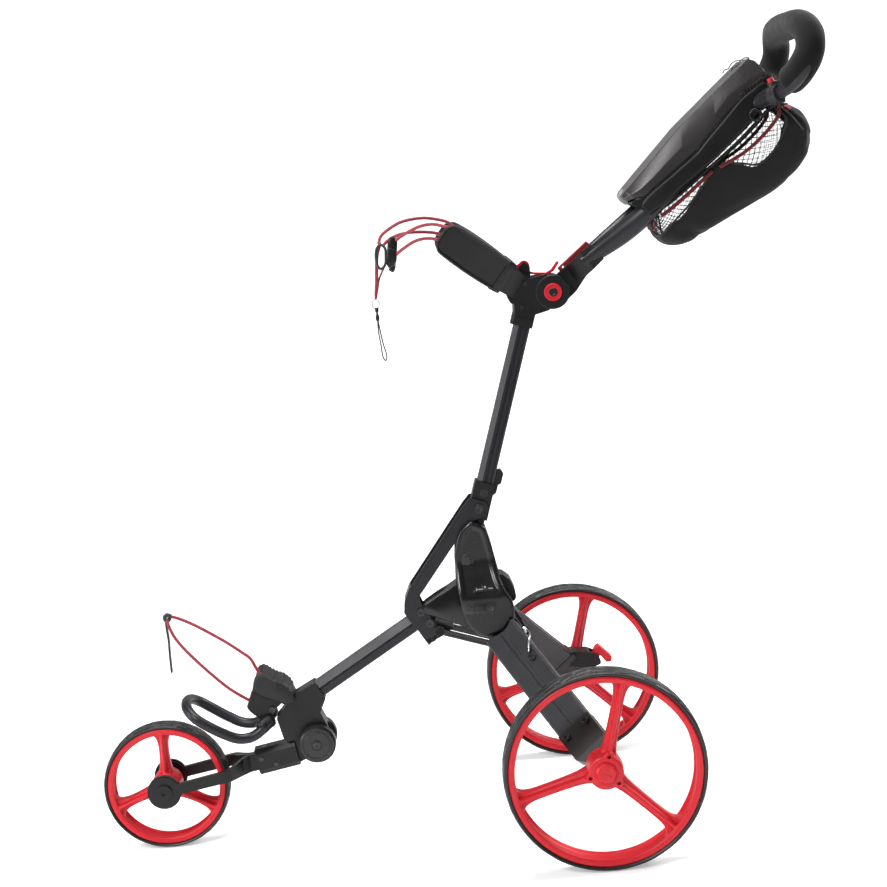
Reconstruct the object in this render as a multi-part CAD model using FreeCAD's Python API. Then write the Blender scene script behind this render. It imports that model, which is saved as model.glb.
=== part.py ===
import FreeCAD, Part
import math
import os

from FreeCAD import Vector

# Folding golf push trolley with three wheels: one in front, two at the back.  Millimetres.
# Design axes: +X forward, +Y left, +Z up, origin on the ground under the rear axle.
# Every piece is moved by EXPORT_SHIFT_X on export, to put the origin at the bottom centre.

EXPORT_SHIFT_X = -176.4
CLEARANCE = 0.05            # running clearance on radius

# ---- wheels ----
REAR_R = 145.0              # tyre outer radius
REAR_W = 44.0
REAR_SEAT_R = 138.0         # where the tyre sits on the rim
HALF_TRACK = 280.0
FRONT_R = 97.8
FRONT_W = 38.0
FRONT_SEAT_R = 91.5
WHEELBASE = 658.0
AXLE_R = 6.0
REAR_CENTRE = (0.0, REAR_R)
FRONT_CENTRE = (WHEELBASE, FRONT_R)

# ---- pivots, (x, z) ----
MAST_PIVOT = (164.2, 406.2)
STRUT_PIVOT = (138.4, 486.5)        # strut to mast bracket
MAST_BOLT = (128.8, 508.7)          # second fixing of the bracket on the mast
LEG_PIVOT = (140.0, 333.0)
FRONT_PIVOT = (419.0, 147.0)
HANDLE_PIVOT = (0.0, 804.0)
ROD_FRONT = (215.0, 304.0)
ROD_REAR = (80.0, 256.0)
BRAKE_PIVOT = (-34.0, 177.0)
LEVER_PIVOT = (-20.0, 838.0)
LATCH_PIVOT = (38.0, 845.0)
LID_PIVOT = (-335.0, 1084.0)

# ---- pin radii ----
MAST_PIN_R = 5.0
STRUT_PIN_R = 4.0
MAST_BOLT_R = 3.5
LEG_PIN_R = 8.0
FRONT_PIN_R = 5.0
TRACK_PIN_R = 4.0
ROD_PIN_R = 4.0
HANDLE_PIN_R = 6.0
BRAKE_PIN_R = 2.5
LEVER_PIN_R = 1.8
LATCH_PIN_R = 2.5
LID_PIN_R = 1.5


# ---------------------------------------------------------------- vectors --
def unit(a):
    length = math.sqrt(sum(c * c for c in a))
    return tuple(c / length for c in a)


def cross(a, b):
    return (a[1] * b[2] - a[2] * b[1], a[2] * b[0] - a[0] * b[2], a[0] * b[1] - a[1] * b[0])


def offset(point, direction, distance):
    return tuple(point[i] + direction[i] * distance for i in range(3))


def frame_point(frame, along, above):
    """(x, z) of a point given in a frame = (origin, local x axis, local z axis)."""
    origin, ex, ez = frame
    return (origin[0] + along * ex[0] + above * ez[0], origin[2] + along * ex[2] + above * ez[2])


def frame_outline(frame, points):
    return [frame_point(frame, *p) for p in points]


def across(half, middle=()):
    """Half a list of points, then its mirror in the second coordinate, in reverse."""
    return half + list(middle) + [(p[0], -p[1], *p[2:]) for p in reversed(half)]


def rect(a0, a1, b0, b1):
    return [(a0, b0), (a1, b0), (a1, b1), (a0, b1)]


def at_y(y, outline):
    return [(x, y, z) for x, z in outline]


# ----------------------------------------------------------------- solids --
def cyl(point, direction, radius, length):
    return Part.makeCylinder(radius, length, Vector(*point), Vector(*direction))


def cyl_y(centre, radius, y0, y1):
    """Cylinder along Y round centre = (x, z)."""
    return cyl((centre[0], y0, centre[1]), (0, 1, 0), radius, y1 - y0)


def ring_y(centre, outer_r, inner_r, y0, y1):
    return cyl_y(centre, outer_r, y0, y1).cut(cyl_y(centre, inner_r, y0 - 1, y1 + 1))


def rounded_wire(points, radius):
    """Closed wire through planar 3-D points, with the corners rounded."""
    count = len(points)
    vertices = [Vector(*p) for p in points]
    corners = []            # (arc start, arc end, arc middle or None)
    for i in range(count):
        corner = vertices[i]
        back = vertices[i - 1] - corner
        ahead = vertices[(i + 1) % count] - corner
        back_len, ahead_len = back.Length, ahead.Length
        back = back * (1.0 / back_len)
        ahead = ahead * (1.0 / ahead_len)
        angle = math.acos(max(-1.0, min(1.0, back.dot(ahead))))
        if radius <= 0.01 or abs(angle - math.pi) < 0.02:
            corners.append((corner, corner, None))
            continue
        # the arc may use just under half of each side
        trim = min(radius / math.tan(angle / 2), 0.49 * back_len, 0.49 * ahead_len)
        arc_r = trim * math.tan(angle / 2)
        bisector = back + ahead
        bisector = bisector * (1.0 / bisector.Length)
        middle = corner + bisector * (arc_r / math.sin(angle / 2) - arc_r)
        corners.append((corner + back * trim, corner + ahead * trim, middle))
    edges = []
    for i in range(count):
        start, end, middle = corners[i]
        if middle is not None:
            edges.append(Part.Arc(start, middle, end).toShape())
        following = corners[(i + 1) % count][0]
        if (following - end).Length > 1e-4:
            edges.append(Part.makeLine(end, following))
    return Part.Wire(edges)


def prism(outline, y0, y1, radius=0.0):
    """(x, z) outline extruded from y0 to y1, corners rounded."""
    wire = rounded_wire(at_y(y0, outline), radius)
    return Part.Face(wire).extrude(Vector(0, y1 - y0, 0))


def prism_z(outline, z0, z1, radius=0.0):
    """(x, y) outline extruded from z0 to z1, corners rounded."""
    wire = rounded_wire([(x, y, z0) for x, y in outline], radius)
    return Part.Face(wire).extrude(Vector(0, 0, z1 - z0))


def polygon_face(points):
    vertices = [Vector(*p) for p in points]
    return Part.Face(Part.makePolygon(vertices + [vertices[0]]))


def prism_x(outline, x0, x1):
    """(y, z) outline extruded from x0 to x1."""
    return polygon_face([(x0, y, z) for y, z in outline]).extrude(Vector(x1 - x0, 0, 0))


def mirror(shape):
    return shape.mirror(Vector(0, 0, 0), Vector(0, 1, 0))


def both(shape):
    return shape.fuse(mirror(shape))


def group(shapes):
    return Part.makeCompound([solid for shape in shapes for solid in shape.Solids])


def largest(shape):
    return max(shape.Solids, key=lambda solid: solid.Volume)


def cut_all(shape, tools):
    for tool in tools:
        shape = shape.cut(tool)
    return shape


def as_solid(shape):
    return shape if shape.ShapeType == "Solid" else Part.makeSolid(shape)


def fillet_if_possible(shape, radius, edges):
    # guards against the kernel refusing the fillet; the edges then stay sharp
    try:
        return shape.makeFillet(radius, edges)
    except Exception:
        return shape


def place(shape, frame):
    """Shape built in local axes, moved into a frame whose local y is the design Y."""
    origin, ex, ez = frame
    matrix = FreeCAD.Matrix(ex[0], 0, ez[0], origin[0],
                            ex[1], 1, ez[1], origin[1],
                            ex[2], 0, ez[2], origin[2],
                            0, 0, 0, 1)
    placed = shape.copy()
    placed.Placement = FreeCAD.Placement(matrix).multiply(placed.Placement)
    return placed


def moved_y(shape, distance):
    moved = shape.copy()
    moved.translate(Vector(0, distance, 0))
    return moved


def tube(points, outer_r, inner_r=0.0):
    """Round bar or tube swept along a smooth curve through the points."""
    curve = Part.BSplineCurve()
    curve.interpolate([Vector(*p) for p in points])
    edge = curve.toShape()
    path = Part.Wire([edge])
    heading = edge.tangentAt(edge.FirstParameter)

    def sweep(radius):
        circle = Part.Wire([Part.makeCircle(radius, Vector(*points[0]), heading)])
        return path.makePipeShell([circle], True, True)

    solid = as_solid(sweep(outer_r))
    return solid.cut(sweep(inner_r)) if inner_r > 0 else solid


def loft(sections):
    """Ruled solid through polygons of 3-D points."""
    wires = []
    for section in sections:
        vertices = [Vector(*p) for p in section]
        wires.append(Part.makePolygon(vertices + [vertices[0]]))
    return Part.makeLoft(wires, True, True)


def revolve_y(profile, centre):
    """(radius, y) profile revolved about the Y axis through centre = (x, z)."""
    face = polygon_face([(centre[0] + r, y, centre[1]) for r, y in profile])
    return as_solid(face.revolve(Vector(centre[0], 0, centre[1]), Vector(0, 1, 0), 360))


def cap_screw(seat, direction, head_r, head_h, shank_r, shank_l):
    """Round head with a blind round socket, and a shank below the seat."""
    direction = unit(direction)
    head = cyl(seat, direction, head_r, head_h)
    socket = cyl(offset(seat, direction, head_h * 0.45), direction, head_r * 0.45, head_h)
    shank = cyl(offset(seat, direction, -shank_l), direction, shank_r, shank_l)
    return head.cut(socket).fuse(shank)


def side_screws(centre, y, *sizes):
    """A left and a right cap screw seated at +y and -y."""
    return [cap_screw((centre[0], y * side, centre[1]), (0, side, 0), *sizes)
            for side in (1, -1)]


def side_holes(centre, y, radius, depth):
    """A left and a right hole running outward from +y and -y."""
    return [cyl((centre[0], y * side, centre[1]), (0, side, 0), radius, depth)
            for side in (1, -1)]


# ------------------------------------------------------------------ beam --
BEAM_HALF = 13.0                        # half of the square section
BEAM_BACK, BEAM_FRONT = -292.0, 4.0     # ends along the beam
BEAM = ((430.0, 0.0, 215.0), unit((0.8660, 0.0, -0.5)), unit((0.5, 0.0, 0.8660)))


def beam_outline(points):
    """Points given as (distance back from the beam origin, height above its centreline)."""
    return frame_outline(BEAM, [(-back, above) for back, above in points])


def beam_envelope():
    outline = rect(-BEAM_HALF, BEAM_HALF, BEAM_HALF, -BEAM_HALF)
    return place(prism_x(outline, BEAM_BACK, BEAM_FRONT), BEAM)


def make_beam():
    """Chamfered hollow extrusion with a groove along each side."""
    half = BEAM_HALF
    groove = half - 1.8
    left = [(half - 6.5, half), (half, half - 11.0), (half, 1.6), (groove, 0.4),
            (groove, -0.4), (half, -1.6), (half, -half + 3.0), (half - 2.0, -half + 0.8),
            (half - 4.0, -half)]
    outline = left + [(-y, z) for y, z in reversed(left)]
    bore = [(-5, 9), (5, 9), (9.5, 1), (9.5, -10), (-9.5, -10), (-9.5, 1)]
    beam = prism_x(outline, BEAM_BACK, BEAM_FRONT)
    return place(beam.cut(prism_x(bore, BEAM_BACK - 1, BEAM_FRONT + 1)), BEAM)


# ------------------------------------------------------------------- hub --
LEG_PIVOT_Y = 37.0
LEG_AXIS = (0.0995, 0.99504, 0.0)
COVER_FACE_Y = 52.5                     # outer face of the cover over the leg pivot

# (x, z) outlines
CASTING_OUTLINE = [
    (241, 339), (200, 363), (184, 373), (182, 404), (176, 432), (164, 452), (152, 455),
    (134, 446), (126, 419), (118, 378), (108, 355), (101, 337), (101, 320), (106, 308),
    (142, 297), (155, 294), (199, 316), (234, 332)]
COVER_OUTLINE = [
    (216, 349), (184, 373), (184, 404), (179, 437), (168, 460), (154, 467), (133, 458),
    (124, 419), (116, 378), (106, 355), (98, 337), (99, 318), (104, 306), (142, 294),
    (155, 292), (199, 315), (209, 318)]
TOWER_OUTLINE = [
    (183, 376), (184, 404), (179, 437), (168, 460), (154, 467), (133, 458), (124, 419),
    (116, 378), (112, 368), (180, 364)]
SPINE_OUTLINE = [
    (124, 381), (112, 382), (101, 372), (95, 356), (94, 344), (100, 337), (108, 352),
    (118, 377)]
# flare sections: x of inner front, inner back, outer back, outer front; outer y; z
FLARE_SECTIONS = [
    (183, 118, 118, 183, 31.0, 404),
    (182, 104, 106, 174, COVER_FACE_Y, 350),
    (180, 100, 105, 175, COVER_FACE_Y, 334)]
BADGE_SCREWS = [(168.0, 341.0), (134.0, 338.0)]


def leg_cyl(start, radius, length, side=1):
    """Cylinder on the tilted leg pivot axis, from start along it (side 1 left, -1 right)."""
    axis = (LEG_AXIS[0], LEG_AXIS[1] * side, 0.0)
    origin = (LEG_PIVOT[0], LEG_PIVOT_Y * side, LEG_PIVOT[1])
    return cyl(offset(origin, axis, start), axis, radius, length)


def knuckle_room():
    """Space for the barrel of the left leg knuckle."""
    return leg_cyl(-10.6, 31.5, 21.9)


def make_mast_pin():
    head = cyl_y(MAST_PIVOT, 8.0, 27.0, 30.0).cut(cyl_y(MAST_PIVOT, 3.2, 28.4, 31.0))
    return cyl_y(MAST_PIVOT, MAST_PIN_R, -27.0, 27.0).fuse(both(head))


def make_hub_cover():
    """Left cover, its badge and the badge screws."""
    plate = prism(COVER_OUTLINE, 21.0, 26.2, 4.0)
    tower = prism(TOWER_OUTLINE, 24.0, 31.0, 5.0)
    tower = fillet_if_possible(tower, 3.0, [e for e in tower.Edges if e.BoundBox.YMin > 30.9])
    top, middle, bottom = [
        [(in_front, 24.0, z), (in_back, 24.0, z), (out_back, y, z), (out_front, y, z)]
        for in_front, in_back, out_back, out_front, y, z in FLARE_SECTIONS]
    flare = loft([top, middle]).fuse(loft([middle, bottom]))
    lobe = cyl_y(LEG_PIVOT, 35.0, 48.6, COVER_FACE_Y)
    cover = plate.fuse(tower).fuse(flare).fuse(lobe)
    cover = cover.cut(knuckle_room())
    lower_room = prism([(60, 333), (240, 333), (240, 250), (60, 250)], 26.4, 48.4)
    cover = cover.cut(lower_room.common(cyl_y(LEG_PIVOT, 60.0, 20, 60)))
    cover = cover.cut(leg_cyl(-24.0, LEG_PIN_R, 42.0))
    cover = cover.cut(cyl_y(MAST_PIVOT, MAST_PIN_R, 0, 27.0))
    cover = cover.cut(cyl_y(MAST_PIVOT, 8.2, 27.0, 40))
    # badge in a shallow recess, held by two screws
    cover = cover.cut(prism([(176, 350), (125, 345), (127, 328), (178, 333)], 51.0, 60.0, 5.0))
    badge = prism([(175, 349), (126, 344.2), (128, 329), (177, 333.8)], 51.0, 52.3, 4.5)
    screws = []
    for x, z in BADGE_SCREWS:
        screws.append(cap_screw((x, 52.3, z), (0, 1, 0), 4.2, 1.8, 2.0, 1.5))
        hole = cyl_y((x, z), 2.0, 48.0, 60.0)
        badge = badge.cut(hole)
        cover = cover.cut(hole.common(cyl_y((150, 340), 60, 48.9, 60)))
    cover = cover.cut(prism([(164, 351), (240, 360), (240, 250), (164, 250)], 23.6, 48.4))
    return cover, badge, screws


def make_hub_casting(cover, leg_pins, slider):
    """Central casting: kite-shaped in side view, with the mast fork on top."""
    core = prism(CASTING_OUTLINE, -21.0, 21.0, 3.0)
    # room for the mast to swing forward
    fork_half = 17.4
    mast_room = cyl_y(MAST_PIVOT, 19.0, -fork_half, fork_half)
    for outline in (
            [(150, 380), (150, 470), (260, 470), (260, 371), (200, 384), (164, 386)],
            [(170, 415), (140, 475), (100, 475), (140, 395)]):
        mast_room = mast_room.fuse(prism(outline, -fork_half, fork_half))
    core = core.cut(mast_room)
    # the front tip is narrower so that the strut ears pass outside it
    core = core.cut(both(prism([(211, 300), (224, 352), (262, 372), (262, 290)], 17.2, 30.0)))
    slider_room = [(190, -45), (190, 20), (221.5, 20), (221.5, 14.5), (227, 5), (250, -30),
                   (262, -42), (262, -60)]
    core = core.cut(prism(beam_outline(slider_room), -25.0, 25.0))
    core = core.cut(beam_envelope())
    socket = [(292.5, 13.2), (292.5, -13.2), (200, -13.2), (200, 13.2)]
    core = core.cut(prism(beam_outline(socket), -13.1, 13.1))
    for side in (1, -1):
        core = core.cut(leg_cyl(-24.0, LEG_PIN_R, 42.0, side))
    core = core.cut(cyl_y(MAST_PIVOT, MAST_PIN_R, -30, 30))
    covers = (cover, mirror(cover))
    core = cut_all(core, covers)
    # rounded rear spine between the covers
    core = core.fuse(prism(SPINE_OUTLINE, -20.9, 20.9, 5.0))
    core = cut_all(core, covers).cut(leg_pins).cut(both(knuckle_room()))
    # room for the slider's rod boss and underside
    core = core.cut(cyl_y(ROD_FRONT, 12.0, -30, 30))
    underside = prism(beam_outline([(190, -45), (190, -10), (262, -10), (262, -45)]), -30, 30)
    return largest(core.cut(underside.common(slider)))


# --------------------------------------------------------- front knuckle --
def make_front_knuckle():
    """Forked end of the beam carrying the front hinge."""
    outline = (beam_outline([(26, 14), (-10, 16)])
               + [(478, 190), (470, 155), (437, 131), (419, 124), (398, 137), (397, 160),
                  (410, 192)]
               + beam_outline([(26, -16)]))
    knuckle = prism(outline, -17.5, 17.5, 4.0).fuse(cyl_y(FRONT_PIVOT, 24.0, -17.5, 17.5))
    # slot for the tongue of the folding housing
    slot = 9.2
    knuckle = knuckle.cut(cyl_y(FRONT_PIVOT, 30.0, -slot, slot))
    for room in (
            [(400, 100), (400, 147), (409, 172), (456, 172), (500, 150), (500, 100)],
            [(380, 160), (340, 90), (430, 90), FRONT_PIVOT]):
        knuckle = knuckle.cut(prism(room, -slot, slot))
    knuckle = knuckle.cut(beam_envelope())
    housing_room = [(453.0, 152.6), (560.0, 135.0), (560.0, 60.0), (440.0, 60.0), (440.0, 100.0)]
    knuckle = knuckle.cut(prism(housing_room, -20.0, 20.0))
    return knuckle.cut(cyl_y(FRONT_PIVOT, FRONT_PIN_R, -40, 40))


def make_front_hinge_pin():
    """Pin with a stepped, grooved disc on each side."""
    disc = cyl_y(FRONT_PIVOT, 29.0, 17.5, 32.0).fuse(cyl_y(FRONT_PIVOT, 27.0, 32.0, 35.0))
    disc = disc.cut(cyl_y(FRONT_PIVOT, FRONT_PIN_R, 10, 34.0))
    disc = disc.cut(cyl_y(FRONT_PIVOT, 3.2, 34.0, 36))
    discs = both(disc).cut(both(ring_y(FRONT_PIVOT, 27.6, 26.2, 34.2, 36.0)))
    return cyl_y(FRONT_PIVOT, FRONT_PIN_R, -34.0, 34.0).fuse(discs)


# ----------------------------------------------------- lower bag bracket --
LOWER_BRACKET_OUTLINE = [
    (424, 240), (447, 243), (458, 238), (468, 248), (480, 252), (498, 255), (510, 240),
    (521, 213), (516, 205), (500, 189), (488, 179), (474, 186), (450, 200), (424, 214)]
LOWER_BRACKET_BOLTS = [(493, 190), (482, 207)]
# left half of the bag rest loop, (x, y, z)
REST_LOOP_HALF = [
    (500, 32.5, 186), (508, 37.0, 178.5), (520, 43.0, 173), (534, 47.5, 175),
    (552, 50.5, 185), (574, 52.0, 198.5), (594, 50.0, 211), (607, 41.0, 220),
    (614.5, 24.0, 226), (617, 8.0, 228)]
REST_LOOP_R = 8.0


def make_lower_bracket(knuckle):
    """Block over the front end of the beam with a grooved, flaring saddle; and its bolts."""
    bracket = prism(LOWER_BRACKET_OUTLINE, -26.0, 26.0, 2.5)
    beam_end = beam_outline([(30, 13.0), (-4, 13.0), (-4, -13.0), (30, -13.0)])
    bracket = bracket.cut(prism(beam_end, -13.0, 13.0)).cut(knuckle)
    saddle = loft([at_y(20.0, [(452, 232), (505, 255), (511, 238), (459, 214)]),
                   at_y(44.0, [(460, 246), (513, 268), (521, 246), (469, 226)])])
    bracket = bracket.fuse(both(saddle))
    # five cross grooves in the saddle, kept above z = 240
    below = prism([(400, 100), (600, 100), (600, 240), (400, 240)], -60, 60)
    for i in range(5):
        x = 466 + 38 * i / 4.0
        z = 244 + 16 * i / 4.0
        groove = cyl((x, -50, z + 3.5), (0, 1, 0), 3.6, 100)
        bracket = bracket.cut(groove.cut(groove.common(below)))
    bolts = []
    for centre in LOWER_BRACKET_BOLTS:
        bolts += side_screws(centre, 26.0, 4.6, 3.2, 2.5, 5.0)
        bracket = cut_all(bracket, side_holes(centre, 21.0, 2.5, 6.0))
    # stubs that hold the ends of the bag rest loop
    stub = loft([at_y(20, [(484, 186), (508, 196), (514, 181), (490, 170)]),
                 at_y(40, [(486, 184), (509, 194), (514, 181), (491, 171)])])
    bracket = bracket.fuse(both(stub))
    bracket = bracket.cut(tube(across(REST_LOOP_HALF), REST_LOOP_R + 0.02)).cut(knuckle)
    for centre in LOWER_BRACKET_BOLTS:
        for head, shank in zip(side_holes(centre, 26.0, 4.7, 30.0),
                               side_holes(centre, 20.0, 2.5, 8.0)):
            bracket = bracket.cut(head).cut(shank)
    return largest(bracket), bolts


def make_lower_strap(bracket):
    """Elastic cord loop with a knot and a hanging tab."""
    upper = tube([(502, 0, 257.5), (511, 0, 281), (520, 0, 293), (539, 0, 307),
                  (567, 0, 329), (596, 0, 346), (622, 0, 361)], 2.6)
    lower = tube([(524, 12, 214), (546, 12, 238), (574, 9, 265), (602, 6, 298),
                  (626, 3, 332), (633, 0, 350)], 2.6)
    knot = cyl((628, -6, 360), (0, 1, 0), 6.5, 12)
    tab = loft([[(x, y, 352) for x, y in rect(630.6, 633.4, -4, 4)],
                [(x, y, 276) for x, y in rect(630.0, 634.0, -5, 5)]])
    return upper.fuse(lower).fuse(knot).fuse(tab).cut(bracket)


# ------------------------------------------------ front housing and fork --
HOUSING = ((448.0, 0.0, 132.0), unit((0.987, 0.0, -0.161)), unit((0.161, 0.0, 0.987)))
HOUSING_SECTION = [(-11, 20), (11, 20), (17, 12), (17, -12),
                   (11, -20), (-11, -20), (-17, -12), (-17, 12)]
TRACK_PIN_AT = 52.0                     # distance along the housing
HOUSING_SCREWS = [(40.0, -8.0), (60.0, 5.0)]    # (along, above)
# fork blade stations: x, centre y, half width, half height
BLADE_STATIONS = [
    (526, 4.5, 4.5, 13), (536, 10.0, 7.0, 13), (545, 24.0, 9.0, 11), (553, 37.5, 8.0, 9.5),
    (561, 43.5, 5.0, 9.0), (572, 44.5, 4.0, 9.0), (WHEELBASE, 44.5, 4.0, 8.0)]


def track_cylinder(radius):
    """Cylinder on the upright axis of the tracking pin."""
    origin, along, up = HOUSING
    return cyl(offset(offset(origin, along, TRACK_PIN_AT), up, -20.0), up, radius, 40.0)


def make_front_housing():
    """Folding housing with its hinge tongue; and its tracking pin and screws."""
    shell = prism_x(HOUSING_SECTION, 4.0, 68.0)
    shell = shell.fuse(prism_x(rect(-9, 9, 14, -14), -22.0, 6.0))
    tongue = cyl_y(FRONT_PIVOT, 22.0, -9.0, 9.0)
    tongue = tongue.fuse(prism([(419, 126), (452, 114), (462, 148), (430, 168)], -9.0, 9.0))
    housing = place(shell, HOUSING).fuse(tongue)
    housing = housing.cut(cyl_y(FRONT_PIVOT, FRONT_PIN_R + CLEARANCE, -20, 20))
    # clearance to the knuckle cheeks and the hinge discs
    housing = housing.cut(both(cyl_y(FRONT_PIVOT, 30.5, 9.0, 40)))
    cheek_room = [(400, 100), (400, 200), (452, 200), (447, 130), (440, 105)]
    housing = housing.cut(both(prism(cheek_room, 9.0, 40)))
    # pocket for the fork neck, wider at its mouth
    for half_width, start in ((9.5, 38.0), (12.5, 56.0)):
        section = rect(-half_width, half_width, 13.5, -13.5)
        housing = housing.cut(place(prism_x(section, start, 70.0), HOUSING))
    track_pin = track_cylinder(TRACK_PIN_R)
    housing = housing.cut(track_pin)
    screws = []
    for point in HOUSING_SCREWS:
        centre = frame_point(HOUSING, *point)
        screws += side_screws(centre, 17.0, 3.4, 1.6, 1.6, 3.4)
        housing = cut_all(housing, side_holes(centre, 13.6, 1.6, 10.0))
    return largest(housing), group([track_pin] + screws)


def make_front_fork():
    """Neck in the housing, then two flat blades down to the axle bosses."""
    origin, along, _ = HOUSING
    sections = []
    for x, y, half_w, half_h in BLADE_STATIONS:
        z = origin[2] + (x - origin[0]) / along[0] * along[2]
        section = rect(y - half_w, y + half_w, z - half_h, z + half_h)
        sections.append([(x, *p) for p in section])
    blade = loft(sections)
    blade = blade.fuse(cyl_y(FRONT_CENTRE, 24.0, 36.0, 48.5))
    blade = blade.fuse(cyl_y(FRONT_CENTRE, 26.0, 40.5, 46.5))
    fork = place(prism_x(rect(-9.0, 9.0, 13.0, -13.0), 40.0, 84.0), HOUSING).fuse(both(blade))
    fork = fork.cut(track_cylinder(TRACK_PIN_R + CLEARANCE))
    fork = fork.cut(cyl_y(FRONT_CENTRE, AXLE_R, -60, 60))
    # the neck narrows at its root for the tracking swing
    root = prism_x(rect(8.0, 20, 20, -20), 36.0, 46.0)
    return fork.cut(both(place(root, HOUSING)))


def make_front_axle():
    cap = cyl_y(FRONT_CENTRE, 12.0, 48.5, 52.0).cut(cyl_y(FRONT_CENTRE, 3.4, 50.0, 53.0))
    return cyl_y(FRONT_CENTRE, AXLE_R, -48.5, 48.5).fuse(both(cap))


# ---------------------------------------------------------------- wheels --
BEARING_R = 11.0
REAR_SPOKES = [105, -15, -135]          # degrees from +X towards +Z
FRONT_SPOKES = [90, -20, -150]


def spoke_frame(centre, degrees):
    angle = math.radians(degrees)
    outward = (math.cos(angle), 0.0, math.sin(angle))
    return (centre[0], 0.0, centre[1]), outward, (-outward[2], 0.0, outward[0])


def make_tyre(centre, outer_r, width, seat_r):
    """Crowned tyre on a flat seat."""
    half = width / 2.0
    depth = outer_r - seat_r
    left = [(outer_r - 0.3, half * 0.35), (seat_r + 0.90 * depth, half - 7.0),
            (seat_r + 0.72 * depth, half - 2.0), (seat_r + 0.45 * depth, half),
            (seat_r, half - 2.0)]
    right = [(r, -y) for r, y in reversed(left)]
    return revolve_y(right + [(outer_r, 0.0)] + left, centre)


def make_rim(centre, seat_r, width, hub_r, hub_w, spokes, spoke_w):
    """Barrel with lips, hub, and spokes with a raised rib."""
    half = width / 2.0
    profile = [
        (seat_r, -half + 2.2), (seat_r, half - 2.2), (seat_r - 2.0, half),
        (seat_r - 9.0, half - 0.5), (seat_r - 9.0, half - 3.5), (seat_r - 5.5, half - 7.0),
        (seat_r - 5.5, -half + 7.0), (seat_r - 9.0, -half + 3.5), (seat_r - 9.0, -half + 0.5),
        (seat_r - 2.0, -half)]
    hub = cyl_y(centre, hub_r, -hub_w / 2.0, hub_w / 2.0)
    rim = revolve_y(profile, centre).fuse(hub)
    end_r = seat_r - 5.8
    side = spoke_w / 2.0
    edge = [(hub_r * 0.3, -side - 3), (hub_r + 10, -side - 1.5), (hub_r + 24, -side),
            (end_r - 24, -side), (end_r - 9, -side - 6.0), (end_r - 1.0, -side - 16.0),
            (end_r + 1.0, -side - 10)]
    spoke = across(edge, [(end_r + 1.3, 0)])
    rib = [(hub_r * 0.5, -2.6), (end_r, -2.6), (end_r, 2.6), (hub_r * 0.5, 2.6)]
    for degrees in spokes:
        frame = spoke_frame(centre, degrees)
        rim = rim.fuse(prism(frame_outline(frame, spoke), -9.0, 9.0))
        rim = rim.fuse(prism(frame_outline(frame, rib), -13.0, 13.0))
    return rim.common(cyl_y(centre, seat_r, -half, half).fuse(hub))


def make_bearings(centre, y0, y1):
    bore = AXLE_R + CLEARANCE
    return group([ring_y(centre, BEARING_R, bore, y0, y1),
                  ring_y(centre, BEARING_R, bore, -y1, -y0)])


def make_rear_rim():
    """Rear rim at y = 0, with three blind holes in the left hub face."""
    rim = make_rim(REAR_CENTRE, REAR_SEAT_R, REAR_W - 2.0, 25.0, 46.0, REAR_SPOKES, 17.0)
    rim = rim.cut(cyl_y(REAR_CENTRE, BEARING_R, -30, 30))
    for degrees in REAR_SPOKES:
        hole = frame_point(spoke_frame(REAR_CENTRE, degrees + 60), 18.0, 0.0)
        rim = rim.cut(cyl_y(hole, 2.6, 14.0, 30.0))
    return rim


def make_front_rim():
    rim = make_rim(FRONT_CENTRE, FRONT_SEAT_R, FRONT_W - 2.0, 22.0, 42.0, FRONT_SPOKES, 13.0)
    return rim.cut(cyl_y(FRONT_CENTRE, BEARING_R, -60, 60))


# -------------------------------------------------------------- rear legs --
# Left leg frame: along the leg, across its width, out of its upper face.
LEG_START = (128.0, 45.0, 307.0)
LEG_END = (3.0, 235.3, 149.0)
LEG_ALONG = unit(offset(LEG_END, LEG_START, -1.0))
WIDTH_HINT = unit((-0.784, 0.0, 0.6205))
HINT_ALONG = sum(WIDTH_HINT[i] * LEG_ALONG[i] for i in range(3))
LEG_ACROSS = unit(offset(WIDTH_HINT, LEG_ALONG, -HINT_ALONG))
LEG_OUT = cross(LEG_ALONG, LEG_ACROSS)
LEG_HALF_W = 27.5
LEG_HALF_T = 12.0
LEG_TOP, LEG_BOTTOM = 14.0, 236.0       # ends of the extrusion along the leg
CAP_WALL = 0.8                          # axle block beyond the leg section
# knuckle arm frame, in the XZ plane: towards the push rod pin and across the arm
ARM_DIR = unit((-0.62, 0.0, -0.785))
ARM = ((LEG_PIVOT[0], 0.0, LEG_PIVOT[1]), ARM_DIR, (-ARM_DIR[2], 0.0, ARM_DIR[0]))
ARM_OUTLINE = [(0, -24), (30, -24), (60, -20), (92, -9), (103, -6), (106, 0),
               (103, 6), (92, 9), (60, 20), (30, 24), (0, 24)]


def leg_point(along, width, out):
    return tuple(LEG_START[i] + LEG_ALONG[i] * along + LEG_ACROSS[i] * width + LEG_OUT[i] * out
                 for i in range(3))


def leg_section(along, outline):
    return [leg_point(along, *p) for p in outline]


def leg_extrude(outline, start, end):
    face = polygon_face(leg_section(start, outline))
    return face.extrude(Vector(*LEG_ALONG) * (end - start))


def leg_rect(w0, w1, n0, n1):
    return [(w0, n0), (w0, n1), (w1, n1), (w1, n0)]


def leg_screw(seat, head_r, head_h, shank_r, shank_l):
    """Screw square to the leg, and its hole."""
    hole = cyl(offset(seat, LEG_OUT, -shank_l), LEG_OUT, shank_r, 6.0)
    return cap_screw(seat, LEG_OUT, head_r, head_h, shank_r, shank_l), hole


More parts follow.
